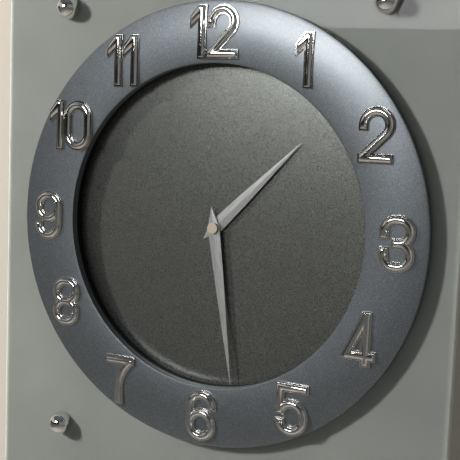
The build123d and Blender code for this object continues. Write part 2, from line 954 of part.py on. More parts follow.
with BuildPart() as gasket_washer:
    rod(axis_spot, gasket_radius, case_front, dial_back)
    bore(axis_spot, bushing_radius + dial_hole_clearance, case_front, dial_back)
gasket_washer.part.label = "gasket_washer"
export_step(gasket_washer.part, "parts/gasket_washer.step")


# Mounting bushing and nut
with BuildPart() as mounting_bushing:
    rod(axis_spot, bushing_flange_radius, face_inside, case_front)
    rod(axis_spot, bushing_radius, case_front, bushing_front)
    bore(axis_spot, hour_pipe_radius + running_clearance, face_inside, bushing_front)
mounting_bushing.part.label = "mounting_bushing"
export_step(mounting_bushing.part, "parts/mounting_bushing.step")

with BuildPart() as bushing_nut:
    with BuildSketch(facing(dial_front)):
        RegularPolygon(nut_across_flats / 2, 6, major_radius=False)
    extrude(amount=nut_thick)
    bore(axis_spot, bushing_radius + thread_clearance, dial_front, nut_front)
bushing_nut.part.label = "bushing_nut"
export_step(bushing_nut.part, "parts/bushing_nut.step")


# Movement case
def case_block(size, radius, back, front, mode=Mode.ADD):
    """Square block with rounded corners, centred on the hand axis."""
    with BuildSketch(facing(back)) as sketch:
        RectangleRounded(size, size, radius)
    extrude(sketch.sketch, amount=front - back, mode=mode)


with BuildPart() as movement_case:
    case_block(case_size, case_corner_radius, cover_front, case_front)
    case_block(
        case_size - 2 * case_wall,
        case_corner_radius - case_wall,
        cover_front - overrun,
        face_inside,
        Mode.SUBTRACT,
    )
    slab(
        -case_inside,
        case_inside,
        -bay_wall_base,
        -bay_wall_top,
        cover_front,
        face_inside,
    )
    for side in (-1, 1):
        inner = side * case_inside
        strip = side * (case_inside - contact_thick - bolt_clearance)
        slab(
            min(inner, strip),
            max(inner, strip),
            -bay_wall_base - overrun,
            -bay_wall_top + overrun,
            cover_front - overrun,
            cell_axis + contact_width / 2 + bolt_clearance,
            Mode.SUBTRACT,
        )
    for spot in cover_screw_spots:
        rod(spot, pillar_radius, cover_front, face_inside)
        rod(
            spot,
            case_screw_radius + thread_clearance,
            cover_front - overrun,
            cover_front + case_screw_bite + end_play,
            Mode.SUBTRACT,
        )
    for spot in plate_screw_spots:
        rod(spot, pillar_radius, plate_front, face_inside)
        rod(
            spot,
            case_screw_radius + thread_clearance,
            plate_front - overrun,
            plate_front + case_screw_bite + end_play,
            Mode.SUBTRACT,
        )
    for spot in core_screw_spots:
        rod(spot, pillar_radius, core_front, face_inside)
        rod(
            spot,
            case_screw_radius + thread_clearance,
            core_front - overrun,
            core_front + case_screw_bite + end_play,
            Mode.SUBTRACT,
        )
    for spot in board_stakes:
        rod(spot, pillar_radius, board_back + board_thick, face_inside)
        rod(spot, board_stake_radius, board_back - board_thick / 2, board_back + board_thick)
    rod(
        motion_spot,
        pivot_radius + running_clearance,
        face_inside - overrun,
        face_inside + pivot_length,
        Mode.SUBTRACT,
    )
    bore(axis_spot, bushing_flange_radius, face_inside, case_front)
movement_case.part.label = "movement_case"
export_step(movement_case.part, "parts/movement_case.step")


def bearing_boss(spot, shaft_radius, hole_radius, shoulder_back):
    """Boss on the inside of the cover with a blind bearing hole."""
    boss_front = shoulder_back - end_play
    rod(spot, bearing_boss_radius + shaft_radius - arbor_radius, cover_front, boss_front)
    rod(
        spot,
        hole_radius + running_clearance,
        shoulder_back - pivot_length - end_play,
        boss_front + overrun,
        Mode.SUBTRACT,
    )


knob_back = case_back + knob_recess
knob_front = knob_back + knob_thick
well_radius = knob_radius + knob_well_clearance
well_floor_back = knob_front + air_gap
well_floor_front = well_floor_back + cover_thick

with BuildPart() as movement_cover:
    case_block(case_size, case_corner_radius, case_back, cover_front)
    slab(
        -case_size,
        case_size,
        -case_size,
        -bay_wall_base,
        case_back - overrun,
        cover_front + overrun,
        Mode.SUBTRACT,
    )
    rod(setting_spot, well_radius + cover_thick, cover_front, well_floor_front)
    rod(setting_spot, well_radius, case_back - overrun, well_floor_back, Mode.SUBTRACT)
    bore(setting_spot, knob_shaft_radius + running_clearance, well_floor_back, well_floor_front)
    for spot in train_spots:
        bearing_boss(spot, arbor_radius, pivot_radius, arbor_back)
    bearing_boss(axis_spot, minute_tail_radius, case_screw_radius, arbor_back)
    for spot in cover_screw_spots:
        bore(spot, case_screw_radius + bolt_clearance, case_back, cover_front)
movement_cover.part.label = "movement_cover"
export_step(movement_cover.part, "parts/movement_cover.step")


def case_screw(spot, seat, grip):
    """Pan-head screw driven forward, its head behind the seat."""
    rod(spot, case_screw_head_radius, seat - case_screw_head_thick, seat)
    rod(spot, case_screw_radius, seat, seat + grip + case_screw_bite)


with BuildPart() as case_screws:
    for spot in cover_screw_spots:
        case_screw(spot, case_back, cover_thick)
    for spot in plate_screw_spots:
        case_screw(spot, plate_back, plate_thick)
    for spot in core_screw_spots:
        case_screw(spot, stator_back, stator_thick + core_thick)
case_screws.part.label = "case_screws"
export_step(case_screws.part, "parts/case_screws.step")

with BuildPart() as train_plate:
    slab(-plate_left, plate_right, -plate_bottom, plate_top, plate_back, plate_front)
    bore(axis_spot, minute_arbor_radius + air_gap, plate_back, plate_front)
    bore(motion_spot, pivot_radius + running_clearance, plate_back, plate_front)
    bore(setting_spot, knob_shaft_radius + running_clearance, plate_back, plate_front)
    for spot in train_spots:
        bore(spot, pivot_radius + running_clearance, plate_back, plate_front)
    for spot in plate_screw_spots:
        bore(spot, case_screw_radius + bolt_clearance, plate_back, plate_front)
train_plate.part.label = "train_plate"
export_step(train_plate.part, "parts/train_plate.step")


# Going train
centre_phase = 0
third_pinion_phase = mating_phase(axis_spot, centre_teeth, centre_phase, third_spot, pinion_teeth)
second_pinion_phase = mating_phase(third_spot, third_teeth, 0, second_spot, pinion_teeth)
intermediate_pinion_phase = mating_phase(
    second_spot, second_teeth, 0, intermediate_spot, pinion_teeth
)
rotor_pinion_phase = mating_phase(
    intermediate_spot, intermediate_teeth, 0, rotor_spot, pinion_teeth
)


def pinion(spot, module, phase, driven_back):
    """Eight-leaf pinion across the wheel that it meshes with."""
    gear(
        spot,
        pinion_teeth,
        module,
        pinion_addendum_share,
        phase,
        driven_back - pinion_overlap,
        driven_back + wheel_thick + pinion_overlap,
    )


def train_wheel(spot, teeth, module, back):
    """Thin toothed wheel."""
    gear(spot, teeth, module, wheel_addendum_share, 0, back, back + wheel_thick)


with BuildPart() as centre_wheel:
    train_wheel(axis_spot, centre_teeth, centre_module, centre_back)
    bore(axis_spot, minute_tail_radius + running_clearance, centre_back, centre_back + wheel_thick)
centre_wheel.part.label = "centre_wheel"
export_step(centre_wheel.part, "parts/centre_wheel.step")

with BuildPart() as third_wheel:
    train_arbor(third_spot)
    train_wheel(third_spot, third_teeth, third_module, third_back)
    pinion(third_spot, centre_module, third_pinion_phase, centre_back)
third_wheel.part.label = "third_wheel"
export_step(third_wheel.part, "parts/third_wheel.step")

with BuildPart() as second_wheel:
    train_arbor(second_spot)
    train_wheel(second_spot, second_teeth, second_module, second_back)
    pinion(second_spot, third_module, second_pinion_phase, third_back)
second_wheel.part.label = "second_wheel"
export_step(second_wheel.part, "parts/second_wheel.step")

with BuildPart() as intermediate_wheel:
    train_arbor(intermediate_spot)
    train_wheel(intermediate_spot, intermediate_teeth, intermediate_module, intermediate_back)
    pinion(intermediate_spot, second_module, intermediate_pinion_phase, second_back)
intermediate_wheel.part.label = "intermediate_wheel"
export_step(intermediate_wheel.part, "parts/intermediate_wheel.step")

with BuildPart() as rotor_pinion:
    train_arbor(rotor_spot)
    pinion(rotor_spot, intermediate_module, rotor_pinion_phase, intermediate_back)
rotor_pinion.part.label = "rotor_pinion"
export_step(rotor_pinion.part, "parts/rotor_pinion.step")

with BuildPart() as rotor_magnet:
    magnet_back = stator_back + stator_thick / 2 - magnet_thick / 2
    rod(rotor_spot, magnet_radius, magnet_back, magnet_back + magnet_thick)
    bore(rotor_spot, arbor_radius, magnet_back, magnet_back + magnet_thick)
rotor_magnet.part.label = "rotor_magnet"
export_step(rotor_magnet.part, "parts/rotor_magnet.step")


# Motion work
motion_phase = mating_phase(axis_spot, cannon_teeth, 0, motion_spot, motion_teeth)
hour_phase = mating_phase(motion_spot, motion_pinion_teeth, 0, axis_spot, hour_teeth)
setting_phase = mating_phase(motion_spot, motion_teeth, motion_phase, setting_spot, setting_teeth)

with BuildPart() as minute_arbor:
    rod(axis_spot, case_screw_radius, arbor_back - pivot_length, arbor_back)
    rod(axis_spot, minute_tail_radius, arbor_back, centre_back + wheel_thick + running_clearance)
    rod(
        axis_spot,
        minute_arbor_radius,
        centre_back + wheel_thick + running_clearance,
        minute_hub_back,
    )
    rod(axis_spot, minute_tip_radius, minute_hub_back, collar_front)
    spring_front = centre_back - running_clearance
    collar_at = spring_front - clutch_spring_depth
    rod(axis_spot, clutch_collar_radius, collar_at - clutch_collar_thick, collar_at)
    gear(axis_spot, cannon_teeth, motion_module, pinion_addendum_share, 0, cannon_back, cannon_front)
minute_arbor.part.label = "minute_arbor"
export_step(minute_arbor.part, "parts/minute_arbor.step")

with BuildPart() as clutch_spring:
    inner = minute_tail_radius + running_clearance
    with BuildSketch(lathe(axis_spot)):
        with BuildLine():
            Polyline(
                (inner, collar_at),
                (clutch_collar_radius, collar_at),
                (clutch_spring_radius, spring_front - clutch_spring_thick),
                (clutch_spring_radius, spring_front),
                (clutch_spring_radius - clutch_spring_thick, spring_front),
                (inner, collar_at + clutch_spring_thick),
                close=True,
            )
        make_face()
    revolve(axis=spindle(axis_spot))
clutch_spring.part.label = "clutch_spring"
export_step(clutch_spring.part, "parts/clutch_spring.step")

with BuildPart() as hour_wheel:
    gear(
        axis_spot,
        hour_teeth,
        hour_module,
        wheel_addendum_share,
        hour_phase,
        hour_back,
        hour_front,
    )
    rod(axis_spot, hour_pipe_radius, hour_back, hour_hub_front)
    bore(axis_spot, minute_arbor_radius + running_clearance, hour_back, hour_hub_front)
hour_wheel.part.label = "hour_wheel"
export_step(hour_wheel.part, "parts/hour_wheel.step")

with BuildPart() as motion_wheel:
    rod(motion_spot, arbor_radius, plate_front + end_play, face_inside - end_play)
    rod(
        motion_spot,
        pivot_radius,
        plate_front + end_play - pivot_length,
        face_inside - end_play + pivot_length - running_clearance,
    )
    gear(
        motion_spot,
        motion_teeth,
        motion_module,
        wheel_addendum_share,
        motion_phase,
        motion_back,
        motion_front,
    )
    gear(
        motion_spot,
        motion_pinion_teeth,
        hour_module,
        pinion_addendum_share,
        0,
        motion_front,
        face_inside - 2 * end_play + running_clearance,
    )
motion_wheel.part.label = "motion_wheel"
export_step(motion_wheel.part, "parts/motion_wheel.step")

with BuildPart() as setting_knob:
    rod(setting_spot, knob_radius, knob_back, knob_front)
    with BuildSketch(facing(knob_back, setting_spot)) as notches:
        with PolarLocations(knob_radius, knob_notches):
            Circle(knob_notch_radius)
    extrude(amount=knob_thick, mode=Mode.SUBTRACT)
    rod(setting_spot, knob_shaft_radius, knob_front, cannon_back)
    rod(setting_spot, setting_tip_radius, cannon_back, cannon_front)
setting_knob.part.label = "setting_knob"
export_step(setting_knob.part, "parts/setting_knob.step")

with BuildPart() as setting_pinion:
    gear(
        setting_spot,
        setting_teeth,
        motion_module,
        pinion_addendum_share,
        setting_phase,
        cannon_back,
        cannon_front,
    )
    bore(setting_spot, setting_tip_radius, cannon_back, cannon_front)
setting_pinion.part.label = "setting_pinion"
export_step(setting_pinion.part, "parts/setting_pinion.step")


# Stepping motor
def upright_bar(left, right, bottom, top, back, front, mode=Mode.ADD):
    """Rectangular bar along Z, drawn as a section and extruded upwards."""
    middle = ((left + right) / 2, -(back + front) / 2)
    with BuildSketch(Plane.XY.offset(bottom)) as sketch:
        with Locations(middle):
            Rectangle(right - left, front - back)
    extrude(sketch.sketch, amount=top - bottom, mode=mode)


def upright_rod(radius, bottom, top, mode=Mode.ADD):
    """Round body along the coil axis."""
    with BuildSketch(Plane.XY.offset(bottom)) as sketch:
        with Locations((coil_x, -coil_axis)):
            Circle(radius)
    extrude(sketch.sketch, amount=top - bottom, mode=mode)


with BuildPart() as stator_plate:
    arm = stator_arm_width / 2
    ring_radius = magnet_radius + rotor_gap + stator_ring_wall
    rod(rotor_spot, ring_radius, stator_back, stator_front)
    slab(rotor_spot[0], coil_x + arm, core_upper - arm, core_upper + arm, stator_back, stator_front)
    slab(
        rotor_spot[0] - arm,
        rotor_spot[0] + arm,
        core_lower - arm,
        rotor_spot[1],
        stator_back,
        stator_front,
    )
    slab(
        rotor_spot[0] - arm,
        coil_x + arm,
        core_lower - arm,
        core_lower + arm,
        stator_back,
        stator_front,
    )
    bore(rotor_spot, magnet_radius + rotor_gap, stator_back, stator_front)
    for spot in core_screw_spots:
        bore(spot, case_screw_radius + bolt_clearance, stator_back, stator_front)
stator_plate.part.label = "stator_plate"
export_step(stator_plate.part, "parts/stator_plate.step")

with BuildPart() as coil_core:
    upright_bar(
        coil_x - core_width / 2,
        coil_x + core_width / 2,
        core_lower - stator_arm_width / 2,
        core_upper + stator_arm_width / 2,
        stator_front,
        core_front,
    )
    for spot in core_screw_spots:
        bore(spot, case_screw_radius + bolt_clearance, stator_front, core_front)
coil_core.part.label = "coil_core"
export_step(coil_core.part, "parts/coil_core.step")

tube_half_width = core_width / 2 + bobbin_clearance + bobbin_wall
tube_half_depth = core_thick / 2 + bobbin_clearance + bobbin_wall

with BuildPart() as coil_bobbin:
    upright_rod(coil_flange_radius, -coil_bottom, -coil_bottom + coil_flange_thick)
    upright_rod(coil_flange_radius, coil_top - coil_flange_thick, coil_top)
    upright_bar(
        coil_x - tube_half_width,
        coil_x + tube_half_width,
        -coil_bottom,
        coil_top,
        coil_axis - tube_half_depth,
        coil_axis + tube_half_depth,
    )
    upright_bar(
        coil_x - core_width / 2 - bobbin_clearance,
        coil_x + core_width / 2 + bobbin_clearance,
        -coil_bottom - overrun,
        coil_top + overrun,
        coil_axis - core_thick / 2 - bobbin_clearance,
        coil_axis + core_thick / 2 + bobbin_clearance,
        Mode.SUBTRACT,
    )
coil_bobbin.part.label = "coil_bobbin"
export_step(coil_bobbin.part, "parts/coil_bobbin.step")

with BuildPart() as coil_winding:
    upright_rod(coil_winding_radius, -coil_bottom + coil_flange_thick, coil_top - coil_flange_thick)
    upright_bar(
        coil_x - tube_half_width,
        coil_x + tube_half_width,
        -coil_bottom,
        coil_top,
        coil_axis - tube_half_depth,
        coil_axis + tube_half_depth,
        Mode.SUBTRACT,
    )
coil_winding.part.label = "coil_winding"
export_step(coil_winding.part, "parts/coil_winding.step")


# Circuit board
with BuildPart() as circuit_board:
    slab(
        -board_width / 2,
        board_width / 2,
        board_bottom,
        board_top,
        board_back,
        board_back + board_thick,
    )
    for spot in board_stakes:
        bore(spot, board_stake_radius + running_clearance, board_back, board_back + board_thick)
circuit_board.part.label = "circuit_board"
export_step(circuit_board.part, "parts/circuit_board.step")

with BuildPart() as control_chip:
    slab(
        -chip_width / 2,
        chip_width / 2,
        board_middle - chip_height / 2,
        board_middle + chip_height / 2,
        board_back - chip_thick,
        board_back,
    )
control_chip.part.label = "control_chip"
export_step(control_chip.part, "parts/control_chip.step")

with BuildPart() as quartz_crystal:
    with BuildSketch(Plane.YZ.offset(crystal_x - crystal_length / 2)):
        with Locations((-board_back + crystal_radius, board_middle)):
            Circle(crystal_radius)
    extrude(amount=crystal_length)
quartz_crystal.part.label = "quartz_crystal"
export_step(quartz_crystal.part, "parts/quartz_crystal.step")


# Cell and contacts
cell_left = -case_inside + contact_thick + contact_spring_depth
cell_right = cell_left + cell_length
nub_right = cell_right + cell_nub_length
strip_inside = case_inside - contact_thick

with BuildPart() as dry_cell:
    with BuildSketch(Plane.YZ.offset(cell_left)):
        with Locations((-cell_axis, cell_z)):
            Circle(cell_radius)
    extrude(amount=cell_length)
    fillet(dry_cell.edges().filter_by(GeomType.CIRCLE), radius=cell_edge_round)
    with BuildSketch(Plane.YZ.offset(cell_right)):
        with Locations((-cell_axis, cell_z)):
            Circle(cell_nub_radius)
    extrude(amount=cell_nub_length)
dry_cell.part.label = "dry_cell"
export_step(dry_cell.part, "parts/dry_cell.step")


def contact_strip(*points):
    """Flat strip that follows the points, its width lying fore and aft."""
    with BuildSketch(facing(cell_axis - contact_width / 2)) as sketch:
        with BuildLine():
            Polyline(*points)
        trace(line_width=contact_thick)
    extrude(sketch.sketch, amount=contact_width)


strip_line = case_inside - contact_thick / 2
strip_foot = cell_z - cell_nub_radius
strip_head = board_bottom + contact_thick

with BuildPart() as contact_minus:
    contact_strip(
        (-strip_line, strip_foot),
        (-strip_line, strip_head),
        (-board_width / 2, strip_head),
    )
    contact_strip(
        (-strip_line, cell_z + contact_spring_reach),
        (cell_left - contact_thick / 2, cell_z),
    )
contact_minus.part.label = "contact_minus"
export_step(contact_minus.part, "parts/contact_minus.step")

with BuildPart() as contact_plus:
    contact_strip(
        (strip_line, strip_foot),
        (strip_line, strip_head),
        (board_width / 2, strip_head),
    )
    with BuildSketch(Plane.YZ.offset(nub_right)):
        with Locations((-cell_axis, cell_z)):
            Rectangle(contact_width, 2 * contact_boss_radius)
    extrude(amount=strip_inside - nub_right)
contact_plus.part.label = "contact_plus"
export_step(contact_plus.part, "parts/contact_plus.step")


# Hands
def hand_section(angle, reach, width, widest, back):
    """Cross-section of a hand at a reach along it: flat behind, ridged in front."""
    a = radians(angle)
    place = Plane(
        origin=(reach * sin(a), -back, reach * cos(a)),
        x_dir=(-cos(a), 0, sin(a)),
        z_dir=(sin(a), 0, cos(a)),
    )
    half = width / 2
    ridge = hand_edge_thick + hand_ridge_rise * width / widest
    with BuildSketch(place) as sketch:
        with BuildLine():
            Polyline(
                (-half, 0),
                (half, 0),
                (half, hand_edge_thick),
                (0, ridge),
                (-half, hand_edge_thick),
                close=True,
            )
        make_face()
    return sketch.sketch


def hand_blank(angle, stations, widest, back):
    """Tapered, ridged blade through its stations of reach and width."""
    loft([hand_section(angle, reach, width, widest, back) for reach, width in stations], ruled=True)


with BuildPart() as hour_hand:
    hand_blank(
        hour_angle,
        [
            (-hour_tail, hand_tip_width),
            (0, hour_root_width),
            (hour_waist_reach, hour_waist_width),
            (hour_length, hand_tip_width),
        ],
        hour_root_width,
        hour_hand_back,
    )
    bore(axis_spot, hour_hub_radius, hour_hand_back, hour_hub_front)
hour_hand.part.label = "hour_hand"
export_step(hour_hand.part, "parts/hour_hand.step")

with BuildPart() as hour_hub:
    rod(axis_spot, hour_hub_flange_radius, hour_hub_back, hour_hand_back)
    rod(axis_spot, hour_hub_radius, hour_hand_back, hour_hub_front)
    bore(axis_spot, hour_pipe_radius, hour_hub_back, hour_hub_front)
hour_hub.part.label = "hour_hub"
export_step(hour_hub.part, "parts/hour_hub.step")

with BuildPart() as minute_hand:
    hand_blank(
        minute_angle,
        [
            (-minute_tail, hand_tip_width),
            (0, minute_root_width),
            (minute_waist_reach, minute_waist_width),
            (minute_length, hand_tip_width),
        ],
        minute_root_width,
        minute_hand_back,
    )
    bore(axis_spot, minute_hub_radius, minute_hand_back, minute_hub_front)
minute_hand.part.label = "minute_hand"
export_step(minute_hand.part, "parts/minute_hand.step")

with BuildPart() as minute_hub:
    rod(axis_spot, minute_hub_flange_radius, minute_hub_back, minute_hand_back)
    rod(axis_spot, minute_hub_radius, minute_hand_back, minute_hub_front)
    bore(axis_spot, minute_tip_radius, minute_hub_back, minute_hub_front)
minute_hub.part.label = "minute_hub"
export_step(minute_hub.part, "parts/minute_hub.step")

with BuildPart() as cap_collar:
    rod(axis_spot, cap_collar_radius, minute_hub_front, collar_front)
    bore(axis_spot, minute_tip_radius, minute_hub_front, collar_front)
cap_collar.part.label = "cap_collar"
export_step(cap_collar.part, "parts/cap_collar.step")

with BuildPart() as hand_cap:
    rod(axis_spot, cap_radius, collar_front, cap_front)
    fillet(hand_cap.edges().group_by(Axis.Y)[0], radius=cap_round)
hand_cap.part.label = "hand_cap"
export_step(hand_cap.part, "parts/hand_cap.step")
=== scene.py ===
# %% [markdown]
# # A glass-panel wall clock
# The object is a wall clock. A frosted glass panel stands off the wall on four
# chromed posts. A painted ring carries twelve chromed numerals, and a dark dial
# sits behind the round opening of the glass. The packed CAD model is the frame:
# every piece below is either one of its nodes with a better finish, or a new
# piece that stands for a node and sits exactly where it is.

from math import atan2, cos, pi, radians, sin, sqrt

import bmesh
import bpy
from mathutils import Matrix, Vector


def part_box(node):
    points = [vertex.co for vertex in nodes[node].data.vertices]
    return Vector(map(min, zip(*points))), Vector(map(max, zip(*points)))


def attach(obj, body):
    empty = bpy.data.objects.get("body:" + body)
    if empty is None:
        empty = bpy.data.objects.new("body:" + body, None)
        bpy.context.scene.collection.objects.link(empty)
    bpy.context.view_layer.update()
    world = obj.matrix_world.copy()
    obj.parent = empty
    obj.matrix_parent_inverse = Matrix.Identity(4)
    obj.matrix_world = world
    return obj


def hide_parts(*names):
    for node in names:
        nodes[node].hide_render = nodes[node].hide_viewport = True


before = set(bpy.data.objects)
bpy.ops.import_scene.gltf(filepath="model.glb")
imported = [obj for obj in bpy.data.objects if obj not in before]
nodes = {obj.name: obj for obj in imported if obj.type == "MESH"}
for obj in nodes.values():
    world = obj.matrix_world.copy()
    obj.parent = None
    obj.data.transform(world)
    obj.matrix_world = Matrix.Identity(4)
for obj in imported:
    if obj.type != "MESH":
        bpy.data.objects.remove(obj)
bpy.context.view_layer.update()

# %% [markdown]
# Sizes on a drawing are in millimetres, and Blender works in metres here, so one name does the change.
# Colours are read as the numbers a paint program shows, from 0 to 255, while shaders want linear light,
# so one helper turns the first into the second. Its curve is the usual one for screens: a straight toe
# for the darkest levels, and a power of the level above it.

# %% Units and colours
MM = 0.001
full_level = 255
toe_end = 0.04045
toe_slope = 12.92
curve_offset = 0.055
curve_power = 2.4


def linear(level):
    """One channel from the 0 to 255 of a paint program to linear light."""
    share = level / full_level
    if share <= toe_end:
        return share / toe_slope
    return ((share + curve_offset) / (1 + curve_offset)) ** curve_power


def colour(red, green, blue):
    """A colour for a shader's socket."""
    return (linear(red), linear(green), linear(blue), 1.0)


print("middle grey in linear light:", round(linear(128), 3))

# %% [markdown]
# A finish is a small sum: some flakes, plus a little wear, times a colour. Wired
# by hand, such a sum is hard to read. Here one class holds a socket, and Python's
# own signs add the Math nodes. Colours are mixed in a Mix node and vectors are
# worked in Vector Math, because a Math node would turn a colour grey.


# %% A value on its way
class Flow:
    """A number, colour or vector on its way through a material."""

    def __init__(self, bench, socket):
        self.bench = bench
        self.socket = socket

    def maths(self, operation, first, second=None):
        """A Math node on one or two values."""
        values = {0: first} if second is None else {0: first, 1: second}
        return self.bench.node("ShaderNodeMath", {"operation": operation}, values)

    def __add__(self, other):
        return self.maths("ADD", self, other)

    __radd__ = __add__

    def __sub__(self, other):
        return self.maths("SUBTRACT", self, other)

    def __rsub__(self, other):
        return self.maths("SUBTRACT", other, self)

    def __mul__(self, other):
        return self.maths("MULTIPLY", self, other)

    __rmul__ = __mul__

    def __truediv__(self, other):
        return self.maths("DIVIDE", self, other)

    def __rtruediv__(self, other):
        return self.maths("DIVIDE", other, self)

    def __pow__(self, other):
        return self.maths("POWER", self, other)

    def absolute(self):
        return self.maths("ABSOLUTE", self)

    def sine(self):
        return self.maths("SINE", self)

    def smallest(self, other):
        return self.maths("MINIMUM", self, other)

    def largest(self, other):
        return self.maths("MAXIMUM", self, other)


print("signs ready:", Flow.__doc__)

# %% [markdown]
# Every other node comes from one method of the bench, which sets the node's
# settings first and then its sockets. The rest of the bench is short names for
# what the finishes need again and again. Noise keeps mostly to the middle of its
# range, so one of these names stretches that middle over the whole. A Mix node
# has sockets for numbers, vectors and colours side by side, and three named
# values say which of them carry the colours.

# %% The shader bench
noise_low = 0.3
noise_high = 0.7
first_mix_colour = 6
second_mix_colour = 7
mixed_colour = 2


class Bench:
    """Where the nodes of one material, or of the world, are put together."""

    def __init__(self, name, world=None):
        self.material = world or bpy.data.materials.new(name)
        self.material.use_nodes = True
        self.tree = self.material.node_tree
        self.shader = self.tree.nodes["Background" if world else "Principled BSDF"]

    def node(self, kind, settings=None, values=None, output=0):
        """Add a node: its settings, then values or links for its sockets."""
        made = self.tree.nodes.new(kind)
        for name, setting in (settings or {}).items():
            if name == "stops":
                self.set_stops(made.color_ramp, setting)
            else:
                setattr(made, name, setting)
        for name, value in (values or {}).items():
            self.feed(made.inputs[name], value)
        return Flow(self, made.outputs[output])

    def feed(self, socket, value):
        """Give a socket a plain value or a link."""
        if isinstance(value, Flow):
            self.tree.links.new(value.socket, socket)
        else:
            socket.default_value = value

    def set_stops(self, ramp, stops):
        """Stops of a ramp, as (place, colour) pairs."""
        while len(ramp.elements) < len(stops):
            ramp.elements.new(1.0)
        for element, (place, tint) in zip(ramp.elements, stops):
            element.position = place
            element.color = tint

    def spot(self):
        """Place on the piece, in metres. It moves with the piece."""
        return self.node("ShaderNodeTexCoord", output="Object")

    def stretch(self, vector, scale):
        """A vector with its sides stretched, for rolled and drawn finishes."""
        settings = {"operation": "MULTIPLY"}
        return self.node("ShaderNodeVectorMath", settings, {0: vector, 1: scale})

    def along(self, vector, way):
        """How far a vector reaches in a direction."""
        settings = {"operation": "DOT_PRODUCT"}
        return self.node("ShaderNodeVectorMath", settings, {0: vector, 1: way}, "Value")

    def sides(self, vector):
        """The x, y and z of a vector."""
        made = self.node("ShaderNodeSeparateXYZ", None, {0: vector})
        outputs = made.socket.node.outputs
        return [Flow(self, outputs[side]) for side in "XYZ"]

    def radius(self, rise=0.0):
        """Distance from the hand axis, or from a line at some height above it."""
        x, _, z = self.sides(self.spot())
        up = z - rise
        return (x * x + up * up) ** 0.5

    def noise(self, size, detail=2.0, roughness=0.5, vector=None):
        """Cloudy variation with blotches of about the given size."""
        values = {
            "Vector": vector or self.spot(),
            "Scale": 1 / size,
            "Detail": detail,
            "Roughness": roughness,
        }
        return self.node("ShaderNodeTexNoise", None, values)

    def cells(self, size):
        """Small cells of about the given size, each with three random numbers."""
        values = {"Vector": self.spot(), "Scale": 1 / size}
        return self.sides(self.node("ShaderNodeTexVoronoi", None, values, "Color"))

    def spread(self, value, low, high, out_low=0.0, out_high=1.0):
        """Stretch a value's range from low..high to out_low..out_high, and clip it."""
        values = {0: value, 1: low, 2: high, 3: out_low, 4: out_high}
        return self.node("ShaderNodeMapRange", None, values)

    def vary(self, noise, low=0.0, high=1.0):
        """The middle of a noise's range, stretched to low..high."""
        return self.spread(noise, noise_low, noise_high, low, high)

    def blend(self, share, first, second):
        """Two colours mixed by a share."""
        made = self.node("ShaderNodeMix", {"data_type": "RGBA"}).socket.node
        self.feed(made.inputs[0], share)
        self.feed(made.inputs[first_mix_colour], first)
        self.feed(made.inputs[second_mix_colour], second)
        return Flow(self, made.outputs[mixed_colour])

    def bump(self, height, depth, strength):
        """A bump from a height of 0 to 1 that stands for a real depth."""
        values = {"Height": height, "Strength": strength, "Distance": depth}
        return self.node("ShaderNodeBump", None, values)

    def finish(self, **sockets):
        """Feed the shader, with _ in a name for the space in the socket's own."""
        for name, value in sockets.items():
            self.feed(self.shader.inputs[name.replace("_", " ")], value)
        return self.material


dressed = {}


def dress(material, *names):
    """Give CAD nodes a finish."""
    for name in names:
        mesh = nodes[name].data
        mesh.materials.clear()
        mesh.materials.append(material)
        dressed[name] = material.name


print("bench ready:", Bench.__doc__)

# %% [markdown]
# The ring is sprayed with a blue-grey metallic lacquer. Close up it is full of
# aluminium flakes: most lie nearly flat and make the paint light where the lamp
# is mirrored and dark where it isn't, and a few are tilted and sparkle. One way
# is a picture of flakes, but it would stretch at the rim. Random cells in space
# fit any shape, so each cell tints the paint a little and tilts the surface. The
# crown of the ring then draws the sheen into one soft bright patch.

# %% Metallic lacquer of the ring
flake_size = 0.3 * MM
sparkle_size = 0.36 * MM
cloud_size = 26 * MM
flake_depth = 0.012 * MM

bench = Bench("ring_lacquer")
flake = bench.cells(flake_size)[0]
sparkle = bench.spread(bench.cells(sparkle_size)[1], 0.9, 1.0)
cloud = bench.noise(cloud_size, detail=3.0, roughness=0.6)
paint = bench.blend(flake, colour(105, 111, 115), colour(136, 143, 148))
paint = bench.blend(sparkle * 0.5, paint, colour(186, 188, 190))
paint = bench.blend(bench.spread(cloud, 0.35, 0.7) * 0.18, paint, colour(104, 107, 111))
ring_lacquer = bench.finish(
    Base_Color=paint,
    Metallic=0.75,
    Roughness=bench.spread(flake, 0.0, 1.0, 0.34, 0.42),
    Specular_IOR_Level=0.2,
    Coat_Weight=0.6,
    Coat_Roughness=0.2,
    Normal=bench.bump(flake + sparkle, flake_depth, 0.4),
)
dress(ring_lacquer, "chapter_ring")
print("lacquer nodes:", len(bench.tree.nodes))

# %% [markdown]
# The dial has the same kind of paint in a neutral grey, a little smoother and
# with larger flakes. Broad, faint clouds show where the spray gun passed.

# %% Grey lacquer of the dial
flake_size = 0.36 * MM
sparkle_size = 0.45 * MM
cloud_size = 48 * MM
flake_depth = 0.01 * MM

bench = Bench("dial_lacquer")
flake = bench.cells(flake_size)[0]
sparkle = bench.spread(bench.cells(sparkle_size)[1], 0.88, 1.0)
cloud = bench.noise(cloud_size)
paint = bench.blend(flake, colour(104, 107, 102), colour(138, 141, 136))
paint = bench.blend(sparkle * 0.5, paint, colour(184, 186, 180))
paint = bench.blend(bench.vary(cloud) * 0.2, paint, colour(104, 105, 98))
dial_lacquer = bench.finish(
    Base_Color=paint,
    Metallic=0.78,
    Roughness=bench.spread(flake, 0.0, 1.0, 0.25, 0.33),
    Specular_IOR_Level=0.2,
    Coat_Weight=0.4,
    Coat_Roughness=0.2,
    Normal=bench.bump(flake, flake_depth, 0.3),
)
dress(dial_lacquer, "dial_disc")
print("dial nodes:", len(bench.tree.nodes))
